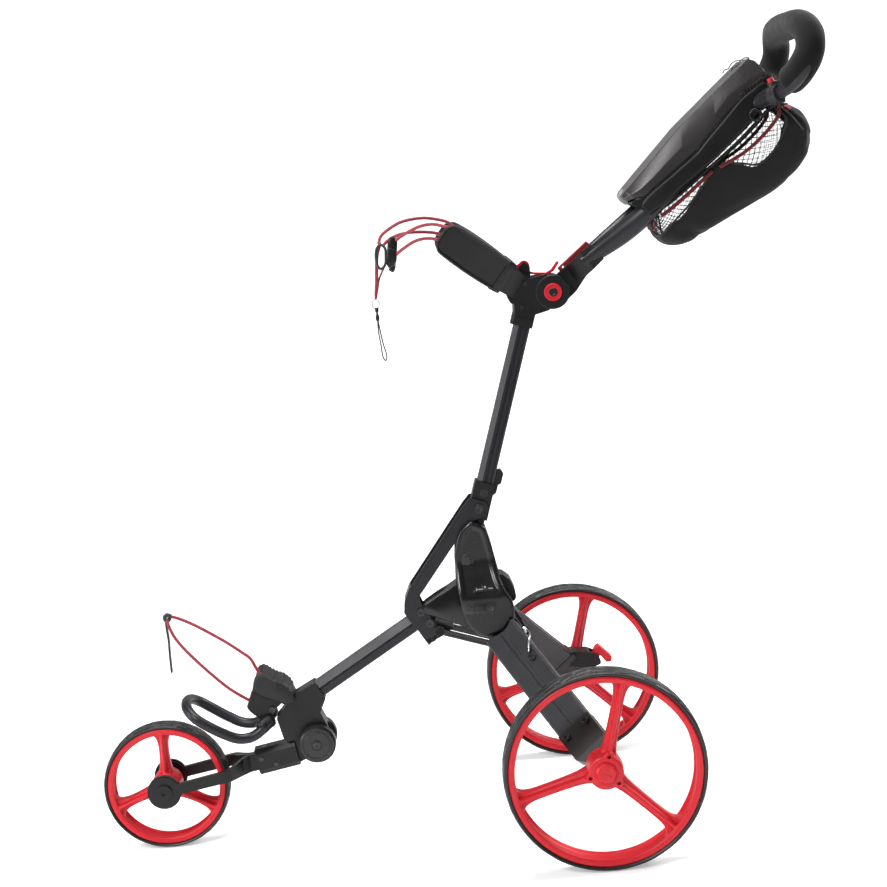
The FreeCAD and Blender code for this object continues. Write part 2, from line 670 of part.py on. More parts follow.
def make_leg_extrusion():
    """Hollow two-chamber section with two grooves in the upper face."""
    w, t = LEG_HALF_W, LEG_HALF_T
    section = [
        (-w, -t + 3), (-w, t - 3), (-w + 3, t), (-3.2, t), (-3.2, t - 3.0), (0.4, t - 3.0),
        (0.4, t), (4.2, t), (4.2, t - 1.4), (6.4, t - 1.4), (6.4, t), (w - 3, t), (w, t - 3),
        (w, -t + 3), (w - 3, -t), (-w + 3, -t)]
    leg = leg_extrude(section, LEG_TOP, LEG_BOTTOM)
    for outer, inner in ((-w + 3, -6), (w - 3, 8)):
        chamber = leg_rect(outer, inner, -t + 3, t - 4)
        leg = leg.cut(leg_extrude(chamber, LEG_TOP - 1, LEG_BOTTOM + 1))
    return leg.cut(leg_cyl(-30.0, 36.6, 70.0))


def make_leg_knuckle(rod_pin):
    """Barrel on the pivot pin, arm to the push rod pin, bridge to the leg."""
    w, t = LEG_HALF_W, LEG_HALF_T
    knuckle = leg_cyl(-9.6, 30.5, 19.6)
    knuckle = knuckle.fuse(prism(frame_outline(ARM, ARM_OUTLINE), 33.0, 45.0, 2.0))
    bridge = loft([leg_section(14, rect(-22, 22, -t - 8, -t + 1)),
                   leg_section(48, rect(-22, 22, -t - 20, -t + 1))])
    bridge = bridge.cut(leg_cyl(-30.0, 37.0, 70.0))
    bridge = bridge.cut(prism([(0, 200), (300, 200), (300, 400), (0, 400)], 0, 33.0))
    knuckle = knuckle.fuse(bridge).cut(leg_extrude(leg_rect(-w, w, -t, t), 5, 240))
    knuckle = knuckle.cut(leg_cyl(-30.0, LEG_PIN_R + CLEARANCE, 60.0))
    return largest(knuckle).cut(rod_pin)


def make_axle_block():
    """Cap over the lower end of the leg, tapering to the axle boss."""
    w, t = LEG_HALF_W, LEG_HALF_T
    outer = leg_rect(-w - CAP_WALL, w + CAP_WALL, -t - CAP_WALL, t + CAP_WALL)
    block = leg_extrude(outer, 216.0, 262.0)
    block = block.fuse(loft([leg_section(262, outer),
                             leg_section(284, leg_rect(-12, 12, -t + 2, t - 1))]))
    block = block.fuse(cyl_y(REAR_CENTRE, 15.0, 222.0, 253.5))
    block = block.cut(cyl_y(REAR_CENTRE, 45.0, 253.5, 330))
    block = block.cut(leg_extrude(leg_rect(-w, w, -t, t), 200, LEG_BOTTOM))
    return block.cut(cyl_y(REAR_CENTRE, AXLE_R, 226.0, 310.0))


def make_leg_parts():
    """Left leg, knuckle, axle block and screws (with the push rod pin)."""
    leg = make_leg_extrusion()
    rod_pin = cyl_y(ROD_REAR, ROD_PIN_R, 20.0, 45.0)
    knuckle = make_leg_knuckle(rod_pin)
    block = make_axle_block()
    screws = []
    for width in (-LEG_HALF_W + 9, LEG_HALF_W - 9):
        seat = leg_point(226.0, width, LEG_HALF_T + CAP_WALL)
        screw, hole = leg_screw(seat, 5.2, 3.2, 2.6, 5.0)
        screws.append(screw)
        block = block.cut(hole)
        leg = leg.cut(hole)
    for along, width, sizes in ((88.0, 15.0, (6.0, 3.4, 2.6, 5.0)),
                                (74.0, 19.0, (4.0, 2.6, 1.8, 4.0))):
        screw, hole = leg_screw(leg_point(along, width, LEG_HALF_T), *sizes)
        screws.append(screw)
        leg = leg.cut(hole)
    return leg, knuckle.cut(block), block, group(screws + [rod_pin])


def make_rear_axle():
    """Left axle with a stepped head outside the wheel."""
    head = cyl_y(REAR_CENTRE, 10.0, 303.6, 306.0).fuse(cyl_y(REAR_CENTRE, 9.0, 306.0, 307.0))
    return cyl_y(REAR_CENTRE, AXLE_R, 226.0, 306.0).fuse(head)


# ----------------------------------------------------------------- brake --
def make_brake_cable(leg, screws, knuckle):
    """Short cable and ferrule at the top of the left leg."""
    t = LEG_HALF_T
    cable = tube([leg_point(40, 32.0, 4), leg_point(52, 33.5, 8), leg_point(64, 29.0, t + 5),
                  leg_point(74, 22.0, t + 6.0), leg_point(80, 17.0, t + 5.6)], 1.6)
    cable = cable.fuse(cyl(leg_point(34, 31.0, 2), LEG_ALONG, 3.2, 8.0))
    return largest(cable.cut(leg).cut(screws).cut(knuckle))


def make_brake(leg_tools):
    """Housing with its pin, and the pedal, on the right leg."""
    housing = prism([(18, 197), (34, 190), (30, 176), (-28, 166), (-44, 172), (-40, 186),
                     (-22, 194)], -232.0, -196.0, 4.0)
    mouth = prism([(-26, 160), (-26, 200), (-60, 200), (-60, 160)], -226.0, -202.0)
    housing = largest(cut_all(housing.cut(mouth), leg_tools))
    pin = cyl_y(BRAKE_PIVOT, BRAKE_PIN_R, -232.0, -196.0)
    housing = housing.cut(cyl_y(BRAKE_PIVOT, BRAKE_PIN_R, -240, -190)).fuse(pin)
    pedal = prism([(-29, 183), (-36, 196), (-42, 200), (-62, 179), (-60, 172), (-52, 172),
                   (-42, 186), (-36, 171), (-29, 171)], -225.4, -202.6, 2.0)
    pedal = pedal.cut(cyl_y(BRAKE_PIVOT, BRAKE_PIN_R + CLEARANCE, -240, -190))
    housing = housing.cut(pedal)
    pedal_room = prism([(-27.6, 168), (-27.6, 212), (-90, 212), (-90, 150), (-40, 150)],
                       -225.8, -202.2)
    return largest(housing.cut(pedal_room.cut(pin))), pedal


# ------------------------------------------------------------------ mast --
MAST_UP = unit((-0.3120, 0.0, 0.9501))
MAST = ((MAST_PIVOT[0], 0.0, MAST_PIVOT[1]), (MAST_UP[2], 0.0, -MAST_UP[0]), MAST_UP)
MAST_TOP = 384.0                        # along the mast from its pivot
MAST_HALF_D = 12.5                      # front to back
MAST_HALF_W = 13.0


def mast_prism(outline, start, end, radius=0.0):
    """(front, left) outline extruded along the mast."""
    return place(prism_z(outline, start, end, radius), MAST)


def mast_envelope():
    outline = rect(-MAST_HALF_D, MAST_HALF_D, -MAST_HALF_W, MAST_HALF_W)
    return mast_prism(outline, 300.0, MAST_TOP)


def make_mast():
    """Grooved hollow tube on a solid foot round the pivot."""
    d, w = MAST_HALF_D, MAST_HALF_W
    half = [(d, w - 6.0), (d - 7.5, w), (1.2, w), (0.2, w - 1.6), (-1.4, w - 1.6), (-2.4, w),
            (-d + 6.0, w), (-d + 5.2, w - 1.2), (-d + 3.8, w - 1.2), (-d + 3.0, w),
            (-d + 2.0, w), (-d, w - 2.0)]
    bore = [(9, -5), (3, -10), (-9.5, -10), (-9.5, 10), (3, 10), (9, 5)]
    mast = prism_z(across(half), 16.0, MAST_TOP).cut(prism_z(bore, 30.0, MAST_TOP + 1))
    foot = cyl_y(MAST_PIVOT, 13.5, -12.9, 12.9)
    foot = foot.fuse(place(Part.makeBox(23, 25.8, 24, Vector(-12.0, -12.9, 0)), MAST))
    foot = foot.cut(cyl_y(MAST_PIVOT, MAST_PIN_R + CLEARANCE, -20, 20))
    mast = place(mast, MAST).fuse(foot)
    mast = mast.cut(cyl_y(STRUT_PIVOT, STRUT_PIN_R, -30, 30))
    return mast.cut(cyl_y(MAST_BOLT, MAST_BOLT_R, -17, 17))


def make_mast_bracket(mast):
    """Sleeve round the mast with the strut pivot and a hook on the rear."""
    bracket = mast_prism(rect(-15.5, 15.5, -16.6, 16.6), 68.0, 124.0)
    hook = [(-14, 104), (-14, 146), (-19, 148), (-24, 143), (-24, 128), (-20, 124), (-20, 112)]
    bracket = bracket.fuse(prism(frame_outline(MAST, hook), -9.0, 9.0, 1.5))
    bore = mast_prism(rect(-13.0, 13.0, -13.2, 13.2), 10.0, 180.0)
    behind = mast_prism(rect(-40, -13.0, -20, 20), 10.0, 180.0)
    bracket = bracket.cut(bore.cut(behind))
    bracket = bracket.cut(cyl_y(STRUT_PIVOT, STRUT_PIN_R, -30, 30))
    bracket = bracket.cut(cyl_y(MAST_BOLT, MAST_BOLT_R, -17, 17))
    return bracket.cut(both(cyl_y(MAST_BOLT, 6.5, 16.6, 17.2))).cut(mast)


def make_mast_pins():
    """Strut pivot pin and the bracket bolt."""
    head = cyl_y(STRUT_PIVOT, 7.0, 21.4, 24.5).cut(cyl_y(STRUT_PIVOT, 3.0, 23.0, 25.0))
    strut_pin = cyl_y(STRUT_PIVOT, STRUT_PIN_R, -23.0, 23.0).fuse(both(head))
    bolt = both(cyl_y(MAST_BOLT, MAST_BOLT_R, 0.0, 16.6))
    return [strut_pin, bolt.fuse(both(cyl_y(MAST_BOLT, 6.0, 16.6, 17.1)))]


# ------------------------------------------- strut, slider and push rods --
STRUT_OUTLINE = [
    (139, 500), (151, 505), (163, 492), (256, 373), (264, 355), (267, 337), (262, 326),
    (236, 291), (222, 298), (218, 312), (236, 340), (243, 358), (180, 437), (160, 466),
    (130, 474), (124, 486), (128, 496)]
STRUT_CHANNEL = [
    (100, 480), (136, 522), (158, 500), (253, 377), (260.5, 356), (263.5, 337), (258, 320),
    (236, 280), (180, 280), (150, 430)]
STRUT_HALF_W = 20.6
STRUT_BOLTS = [(241.1, 335.7), (229.0, 317.2)]
# each rod turns about an axis tilted like the leg pivot's, so that it follows the leg
ROD_AXIS = unit((-0.038, 0.993, 0.107))
ROD_ORIGIN = (ROD_FRONT[0], 25.0, ROD_FRONT[1])
ROD_DIR = unit((ROD_REAR[0] - ROD_FRONT[0], 0.0, ROD_REAR[1] - ROD_FRONT[1]))
ROD = ((ROD_FRONT[0], 0.0, ROD_FRONT[1]), ROD_DIR, (-ROD_DIR[2], 0.0, ROD_DIR[0]))
ROD_LENGTH = math.hypot(ROD_REAR[0] - ROD_FRONT[0], ROD_REAR[1] - ROD_FRONT[1])


def make_strut():
    """Channel from the mast bracket down to the slider; and its bolts."""
    strut = prism(STRUT_OUTLINE, -STRUT_HALF_W, STRUT_HALF_W, 4.0)
    strut = strut.cut(prism(STRUT_CHANNEL, -17.5, 17.5))
    # the web stops below the mast so that the ears straddle it
    strut = strut.cut(place(Part.makeBox(60, 35.0, 100, Vector(-30, -17.5, 60)), MAST))
    slider_end = [(190, 280), (190, 338), (243, 352), (300, 352), (300, 280)]
    strut = strut.cut(prism(slider_end, -17.5, 17.5))
    strut = strut.cut(cyl_y(STRUT_PIVOT, STRUT_PIN_R + CLEARANCE, -30, 30))
    # long groove on each side
    strut = strut.cut(both(prism([(163, 482), (165, 484), (252, 371), (250, 369)], 19.8, 21.0)))
    bolts = []
    for centre in STRUT_BOLTS:
        bolts += side_screws(centre, STRUT_HALF_W, 6.2, 3.6, 3.4, 3.0)
        strut = cut_all(strut, side_holes(centre, 17.4, 3.4, 5.0))
    return largest(strut), group(bolts)


def make_slider():
    """Block that slides on the beam, with a stud each side for the push rods."""
    channel = prism(beam_outline([(190, -13.35), (190, 13.35), (262, 13.35), (262, -13.35)]),
                    -13.35, 13.35)
    outline = [(203, -40), (203, 17.5), (219.5, 17.5), (219.5, 13.3), (223.5, 3),
               (246.0, -33), (250, -40)]
    slider = prism(beam_outline(outline), -17.0, 17.0).cut(channel)
    for i in range(4):
        back = 207.0 + i * 10.0
        top = -20 - i * 3.0
        groove = [(back, -41), (back, top), (back + 4.5, top), (back + 4.5, -41)]
        slider = slider.cut(both(prism(beam_outline(groove), 13.4, 18.0)))
    notch = beam_outline([(224, 3), (262, 3), (262, -28), (244, -28)])
    slider = slider.cut(prism(notch, -25, 25))
    slider = slider.fuse(cyl_y(ROD_FRONT, 9.0, -17.0, 17.0)).cut(channel)
    studs = both(cyl(offset(ROD_ORIGIN, ROD_AXIS, -16.0), ROD_AXIS, ROD_PIN_R, 20.5))
    return largest(slider.fuse(studs.cut(cyl_y(ROD_FRONT, 10, -13, 13))))


def make_push_rod():
    """Left flat bar with an eye on the slider stud and a groove outside."""
    bar = rect(0, ROD_LENGTH - 10.4, -4.5, 4.5)
    rod = prism(frame_outline(ROD, bar), 22.0, 28.0)
    rod = rod.fuse(cyl(offset(ROD_ORIGIN, ROD_AXIS, -3.4), ROD_AXIS, 8.0, 6.8))
    bore = cyl(offset(ROD_ORIGIN, ROD_AXIS, -15.0), ROD_AXIS, ROD_PIN_R + CLEARANCE, 30)
    groove = rect(14, ROD_LENGTH - 16, -1.2, 1.2)
    return rod.cut(bore).cut(prism(frame_outline(ROD, groove), 27.0, 29.0))


# ---------------------------------------------------------- handle hinge --
HINGE_SCREWS = [(48.0, 786.0), (40.0, 820.0)]


def make_hinge_housing():
    """Sleeve on the mast top with two round cheeks; and its screws."""
    sleeve = [(-15.5, -17.5), (15.5, -17.5), (18.0, -10), (18.0, 10), (15.5, 17.5),
              (-15.5, 17.5)]
    housing = mast_prism(sleeve, 368.0, 436.0, 2.0)
    cheek = prism([(31, 772), (9, 777), (-4, 784), (-12, 800), (-6, 818), (8, 831), (34, 827),
                   (44, 800)], 10.4, 31.0, 3.0)
    cheek = cheek.fuse(cyl_y(HANDLE_PIVOT, 25.5, 10.4, 33.0))
    outer_edges = [e for e in cheek.Edges
                   if e.BoundBox.YMin > 32.9 and e.BoundBox.XLength > 45]
    cheek = fillet_if_possible(cheek, 1.5, outer_edges)
    bridge = prism([(60, 776), (34, 770), (26, 774), (30, 800), (30, 828), (48, 830),
                    (58, 812)], -31.0, 31.0, 3.0)
    housing = housing.fuse(both(cheek)).fuse(bridge)
    # gap for the moving block
    housing = housing.cut(cyl_y(HANDLE_PIVOT, 37.0, -10.4, 10.4))
    housing = housing.cut(prism([(24, 762), (24, 845), (-60, 845), (-60, 762)], -10.4, 10.4))
    housing = housing.cut(mast_envelope()).cut(cyl_y(HANDLE_PIVOT, HANDLE_PIN_R, -60, 60))
    housing = housing.cut(both(cyl_y(HANDLE_PIVOT, 13.45, 33.0, 40)))
    screws = []
    for centre in HINGE_SCREWS:
        screws += side_screws(centre, 31.0, 3.2, 1.8, 1.6, 4.0)
        housing = cut_all(housing, side_holes(centre, 27.0, 1.6, 8.0))
    return housing, screws


def make_hinge_knobs():
    knob = cyl_y(HANDLE_PIVOT, 13.4, 33.0, 35.5).cut(cyl_y(HANDLE_PIVOT, 4.2, 34.0, 40))
    return both(knob).fuse(cyl_y(HANDLE_PIVOT, HANDLE_PIN_R, -33.0, 33.0))


# ----------------------------------------------------- upper bag bracket --
UPPER_FORWARD = (0.770, 0.0, 0.638)
UPPER_FORWARD = unit(UPPER_FORWARD)
UPPER_UP = unit((-0.638, 0.0, 0.770))
# stations of the left side: x, y, z, height, thickness, turn in degrees
ARM_STATIONS = [(46, 18, 812, 34, 12, 60), (62, 38, 826, 40, 12, 45), (86, 58, 846, 46, 11, 30),
                (118, 75, 873, 48, 10, 18), (150, 84, 899, 42, 9, 8)]
PAD_STATIONS = [(84.5, 55.8, 846, 50, 13, 30), (118, 75, 873, 53, 14, 18),
                (152, 84.5, 900.5, 47, 13, 8), (158, 85.3, 905.5, 40, 11, 8)]
TIP_STATIONS = [(150, 74, 897, 30, 8, 30), (168, 62, 899, 28, 8, 50)]


def upper_loft(stations):
    sections = []
    for x, y, z, height, thickness, degrees in stations:
        cosine, sine = math.cos(math.radians(degrees)), math.sin(math.radians(degrees))
        lateral = (UPPER_FORWARD[0] * -sine, cosine, UPPER_FORWARD[2] * -sine)
        sections.append([
            offset(offset((x, y, z), lateral, i * thickness / 2.0), UPPER_UP, j * height / 2.0)
            for i, j in rect(-1, 1, -1, 1)])
    return loft(sections)


def make_upper_bracket(housing):
    """Two curved arms reaching forward and outward from the hinge housing."""
    bracket = both(upper_loft(ARM_STATIONS))
    root = [(36, 790), (30, 826), (56, 850), (76, 826), (64, 792)]
    bracket = bracket.fuse(prism(root, -30.0, 30.0, 4.0)).cut(housing).cut(mast_envelope())
    return largest(cut_all(bracket, [cyl_y(c, 3.4, -40, 40) for c in HINGE_SCREWS]))


def add_latch_mount(bracket, housing):
    """Ears and pin for the latch on top of the bracket."""
    bracket = bracket.cut(cyl_y(LATCH_PIVOT, 15.0, -5.6, 5.6))
    ears = both(prism([(30, 826), (30, 845), (38, 852), (46, 845), (50, 826)], 5.8, 9.0, 2.0))
    bracket = bracket.fuse(ears.cut(housing)).fuse(cyl_y(LATCH_PIVOT, LATCH_PIN_R, -9.0, 9.0))
    return largest(bracket.cut(housing))


def make_upper_pads(bracket):
    pad = upper_loft(PAD_STATIONS).cut(bracket)
    return group([pad, mirror(pad)])


def make_upper_strap(pads, bracket):
    """Two elastic cords between the arm tips, with the buckle and pull loops."""
    cords = []
    for y, z, drop in ((62, 905, 0), (60, 892, -8)):
        half = [(166, y, z), (186, y - 8, z + 6 + drop * 0.2),
                (212, y - 26, z + 4 + drop * 0.3), (232, 12, z - 4)]
        cords.append(tube(across(half, [(236, 0, z - 6)]), 2.6))
    strap = cords[0].fuse(cords[1]).fuse(both(upper_loft(TIP_STATIONS)))
    strap = strap.cut(pads).cut(bracket)
    buckle = prism([(227, 907), (241, 909), (243, 862), (230, 861)], -9.0, 9.0, 3.0)
    front = prism([(243, 897), (254, 895), (252, 862), (243, 866)], -11.0, 11.0, 3.0)
    buckle = buckle.fuse(front).cut(strap)
    pull = tube([(252, 3, 872), (259, 3, 850), (262, 2, 824), (260, 0, 808)], 3.0)
    swivel = cyl((260, 0, 812), (0, 0, -1), 4.5, 18.0)
    lanyard = tube([(260.5, 2.6, 796), (263.5, 2.6, 770), (263, 1.5, 742), (260, 0, 726)], 1.5)
    pulls = pull.fuse(swivel).fuse(lanyard).cut(buckle)
    return strap.cut(buckle), group([buckle, pulls])


# ---------------------------------------------------------------- handle --
# left tube stations: x, y, z, half height, half width
TUBE_STATIONS = [
    (-50, 17.0, 844.5, 11.5, 9.0), (-80, 23.0, 862.5, 14.0, 11.0), (-112, 34.0, 883, 16.0, 12.0),
    (-142, 44.0, 905, 15.5, 12.0), (-172, 50.0, 930, 13.5, 11.0), (-200, 53.0, 954, 12.0, 10.0)]
# neck sections of the handle block: upper x, z; lower x, z; half width
NECK_SECTIONS = [(-24, 838, -40, 812, 10), (-46, 857, -65, 833, 26), (-62, 869, -80, 846, 29)]


def oval_wire(centre, direction, half_h, half_w, count=16):
    """Oval square to direction."""
    direction = unit(direction)
    lateral = unit((-direction[0] * direction[1], 1 - direction[1] * direction[1],
                    -direction[2] * direction[1]))
    up = cross(lateral, direction)
    points = []
    for k in range(count):
        angle = 2 * math.pi * k / count
        point = offset(centre, up, half_h * math.cos(angle))
        points.append(offset(point, lateral, half_w * math.sin(angle)))
    curve = Part.BSplineCurve()
    curve.interpolate([Vector(*p) for p in points], PeriodicFlag=True)
    return Part.Wire([curve.toShape()])


def make_handle_tube():
    """Left oval tube, diverging towards the console."""
    centres = [station[:3] for station in TUBE_STATIONS]
    sections = []
    for i, (x, y, z, half_h, half_w) in enumerate(TUBE_STATIONS):
        before = centres[max(0, i - 1)]
        after = centres[min(len(centres) - 1, i + 1)]
        sections.append(oval_wire((x, y, z), offset(after, before, -1), half_h, half_w))
    return Part.makeLoft(sections, True, False)


def make_handle_block(tubes):
    """Hinge block between the cheeks, widening to hold both tubes, with the lever pin."""
    block = cyl_y(HANDLE_PIVOT, 24.0, -10.0, 10.0)
    block = block.fuse(prism([(-8, 826), (-31, 844), (-62, 833), (-36, 800), (-16, 784)],
                             -10.0, 10.0, 2.0))
    near, middle, far = [
        [(x_up, -y, z_up), (x_low, -y, z_low), (x_low, y, z_low), (x_up, y, z_up)]
        for x_up, z_up, x_low, z_low, y in NECK_SECTIONS]
    block = block.fuse(loft([near, middle])).fuse(loft([middle, far]))
    block = cut_all(block, tubes)
    block = block.cut(cyl_y(HANDLE_PIVOT, HANDLE_PIN_R + CLEARANCE, -20, 20))
    cheek_room = [(24, 770), (24, 835), (-20, 842), (-26, 812), (-26, 790), (0, 770)]
    block = largest(block.cut(both(prism(cheek_room, 10.0, 40))))
    lever_room = [(-4, 824), (-4, 845), (-66, 882), (-76, 870), (-24, 832)]
    block = block.cut(prism(lever_room, -7.6, 7.6))
    block = block.fuse(cyl_y(LEVER_PIVOT, LEVER_PIN_R, -10.0, 10.0))
    return largest(cut_all(block, tubes))


def make_hinge_lever():
    """Flat bar lying between the tubes."""
    lever = prism([(-14, 833), (-12, 837), (-58, 873), (-64, 867), (-24, 836)], -7.0, 7.0, 1.0)
    lever = lever.fuse(cyl_y(LEVER_PIVOT, 4.5, -7.0, 7.0))
    return lever.cut(cyl_y(LEVER_PIVOT, LEVER_PIN_R + CLEARANCE, -10, 10))


def make_hinge_latch(housing, bracket):
    """Hooked latch over the hinge housing."""
    latch = prism([
        (44, 850), (44, 842), (36, 838), (24, 834), (6, 832), (-2, 836), (-10, 846), (-13, 848),
        (-14, 845), (-6, 834), (2, 829.5), (20, 830.5), (33, 833), (46, 838), (50, 846)],
        -5.0, 5.0, 0.8)
    latch = latch.fuse(cyl_y(LATCH_PIVOT, 8.0, -5.0, 5.0))
    latch = latch.cut(cyl_y(LATCH_PIVOT, LATCH_PIN_R + CLEARANCE, -20, 20))
    return largest(latch.cut(housing).cut(bracket))


# --------------------------------------------------------------- console --
LID_GAP = 0.3
BARREL_R = 3.4                          # lid hinge barrel
SOCKET = (-314.0, 1036.0)
CONSOLE_BOTTOM = [(-134, 918), (-152, 905), (-200, 938), (-254, 979), (-300, 1017),
                  (-334, 1051)]
# parting line between body and lid, front to back
PARTING_LINE = [(-119, 926), (-144, 932), (-160, 945), (-226, 993), (-234, 1002),
                (-294, 1063), (-328, 1085)]
LID_TOP = [(-112, 935), (-119, 943), (-204, 1029), (-311, 1119), (-322, 1114), (-334, 1100),
           (-334, 1085.5)]
# two overlapping outlines that hollow the body
TRAY_OUTLINES = [
    [(-150, 934), (-166, 944), (-226, 988), (-240, 1004), (-296, 1058), (-312, 1066),
     (-322, 1058), (-300, 1030), (-254, 991), (-200, 950), (-160, 921)],
    [(-160, 921), (-300, 1030), (-322, 1058), (-330, 1110), (-250, 1110), (-140, 960),
     (-150, 934)]]
# left half of the handle loop, (x, y, z)
HANDLE_LOOP_HALF = [
    (-318, 56, 1051), (-331, 78, 1056), (-346, 106, 1064), (-363, 133, 1077),
    (-378, 146, 1099), (-384.5, 144, 1123), (-382, 128, 1142), (-376, 98, 1155),
    (-371, 55, 1162.5), (-369, 14, 1164)]
HANDLE_LOOP = across(HANDLE_LOOP_HALF)
HANDLE_LOOP_R = 9.0
BAG_OUTLINE = [
    (-150, 901), (-158, 878), (-163, 865), (-183, 854), (-214, 857), (-250, 876), (-292, 898),
    (-346, 923), (-386, 957), (-403, 985), (-401, 1007), (-394, 1034), (-380, 1045),
    (-352, 1046), (-336, 1046), (-298, 1011), (-252, 973), (-198, 932)]
BAG_INSIDE = [
    (-160, 897), (-166, 880), (-170, 870), (-184, 859), (-213, 862), (-248, 880), (-290, 903),
    (-343, 928), (-382, 960), (-398, 986), (-396, 1006), (-390, 1030), (-380, 1060),
    (-346, 1060), (-298, 1016), (-252, 978), (-198, 937)]


def make_handle_loop():
    bow = tube(HANDLE_LOOP, HANDLE_LOOP_R, 7.0)
    ends = prism([(-200, 900), (-200, 1200), (-324, 1200), (-324, 900)], 0, 52)
    return largest(bow.cut(both(ends)))


def make_grip_foam(loop_core):
    foam = tube(HANDLE_LOOP, 18.4).cut(loop_core)
    ends = [(-300, 1000), (-300, 1120), (-340, 1120), (-358, 1069), (-352, 1055), (-352, 1000)]
    return largest(foam.cut(prism(ends, -160, 160)))


def make_console_shell(tubes, loop_core):
    """Wedge-shaped open body with a round socket on each side, before the lid hinge."""
    outline = CONSOLE_BOTTOM + [(-344, 1066), (-341, 1078)] + PARTING_LINE[::-1]
    body = prism(outline, -60.0, 60.0, 3.0)
    lower, upper = [prism(points, -54.0, 54.0, 2.0) for points in TRAY_OUTLINES]
    body = cut_all(body.cut(lower.fuse(upper)), tubes)
    body = body.fuse(both(cyl_y(SOCKET, 10.0, 50.0, 66.0)))
    body = body.cut(both(cyl_y(SOCKET, 5.0, 52.0, 70.0)))
    # the loop is cut out again from the largest solid that remains
    for _ in range(2):
        body = largest(body.cut(loop_core))
    return body


def make_console_lid(shell):
    """Hollow faceted lid with the middle hinge barrel."""
    edge = [(x, z + LID_GAP) for x, z in PARTING_LINE]
    lid = prism(edge[:1] + LID_TOP + edge[:0:-1], -58.0, 58.0, 2.0)
    inside = [(-140, 938), (-206, 1018), (-308, 1106), (-318, 1104), (-318, 1090),
              (-292, 1070), (-232, 1010), (-222, 1000), (-160, 955)]
    lid = lid.cut(prism(inside, -54.0, 54.0, 2.0))
    opening = [(-142, 920), (-160, 945), (-226, 993), (-234, 1002), (-294, 1063),
               (-316, 1078), (-310, 1100), (-206, 1012), (-146, 940)]
    lid = largest(lid.cut(prism(opening, -54.0, 54.0)).cut(shell))
    lid = lid.cut(both(cyl_y(LID_PIVOT, 3.8, 29.6, 60.0)))
    lid = lid.fuse(cyl_y(LID_PIVOT, BARREL_R, -29.6, 29.6))
    return largest(lid.cut(cyl_y(LID_PIVOT, LID_PIN_R + CLEARANCE, -61.0, 61.0)))


def add_lid_hinge(shell):
    """The two outer hinge barrels and the pin."""
    body = shell.cut(cyl_y(LID_PIVOT, 3.8, -30.0, 30.0))
    body = body.fuse(both(cyl_y(LID_PIVOT, BARREL_R, 30.0, 50.0)))
    return largest(body.fuse(cyl_y(LID_PIVOT, LID_PIN_R, -50.0, 50.0)))


def make_net_bag(body, tubes):
    """Thin open pouch under the console."""
    bag = prism(BAG_OUTLINE, -50.0, 50.0, 5.0).cut(prism(BAG_INSIDE, -47.0, 47.0, 3.0))
    bag = cut_all(bag.cut(body), tubes).cut(tube(HANDLE_LOOP, 19.4))
    loop_exit = cyl((-318, 50, 1051), unit((-0.5, 0.86, 0.15)), 13.0, 60.0)
    return largest(bag.cut(both(loop_exit)))


def make_loop_clamp(loop_core):
    """Clamp on the left side of the loop, and its push button."""
    along = unit((-0.52, 0.83, 0.2))
    up = unit((0.35, 0.0, 0.93))
    base = (-338.0, 91.0, 1060.0)
    stem = offset(base, along, 6.0)
    clamp = cyl(offset(base, along, -2.0), along, 14.0, 16.0)
    clamp = clamp.fuse(cyl(offset(stem, up, 6.0), up, 7.0, 14.0)).cut(loop_core)
    clamp = clamp.cut(cyl(offset(stem, up, 11.0), up, 4.9, 20.0))
    return clamp, cyl(offset(stem, up, 15.2), up, 4.8, 10.6)


# -------------------------------------------------------------- assembly --
def build_chassis(parts):
    cover, badge, hub_screws = make_hub_cover()
    leg_pins = group([leg_cyl(-24.0, LEG_PIN_R, 36.2, side) for side in (1, -1)])
    slider = make_slider()
    knuckle = make_front_knuckle()
    bracket, bracket_bolts = make_lower_bracket(knuckle)
    hub_screws += [mirror(screw) for screw in hub_screws]
    parts["front_beam"] = make_beam()
    parts["hub_casting"] = make_hub_casting(cover, leg_pins, slider)
    parts["hub_cover_left"] = cover.fuse(badge)
    parts["hub_cover_right"] = mirror(cover).fuse(mirror(badge))
    parts["chassis_screws"] = group(hub_screws + bracket_bolts)
    parts["hub_pivot_pins"] = group([make_mast_pin(), leg_pins])
    parts["front_knuckle"] = knuckle
    parts["front_hinge_pin"] = make_front_hinge_pin()
    parts["lower_bag_bracket"] = bracket
    parts["bag_rest_loop"] = tube(across(REST_LOOP_HALF), REST_LOOP_R, 5.5)
    parts["lower_bag_strap"] = make_lower_strap(bracket)
    parts["front_housing"], parts["housing_screws"] = make_front_housing()
    parts["front_fork"] = make_front_fork()
    parts["front_axle"] = make_front_axle()
    parts["front_tyre"] = make_tyre(FRONT_CENTRE, FRONT_R, FRONT_W, FRONT_SEAT_R)
    parts["front_rim"] = make_front_rim()
    parts["front_bearings"] = make_bearings(FRONT_CENTRE, 10.0, 18.0)
    parts["slider_block"] = slider
    parts["strut"], parts["strut_bolts"] = make_strut()


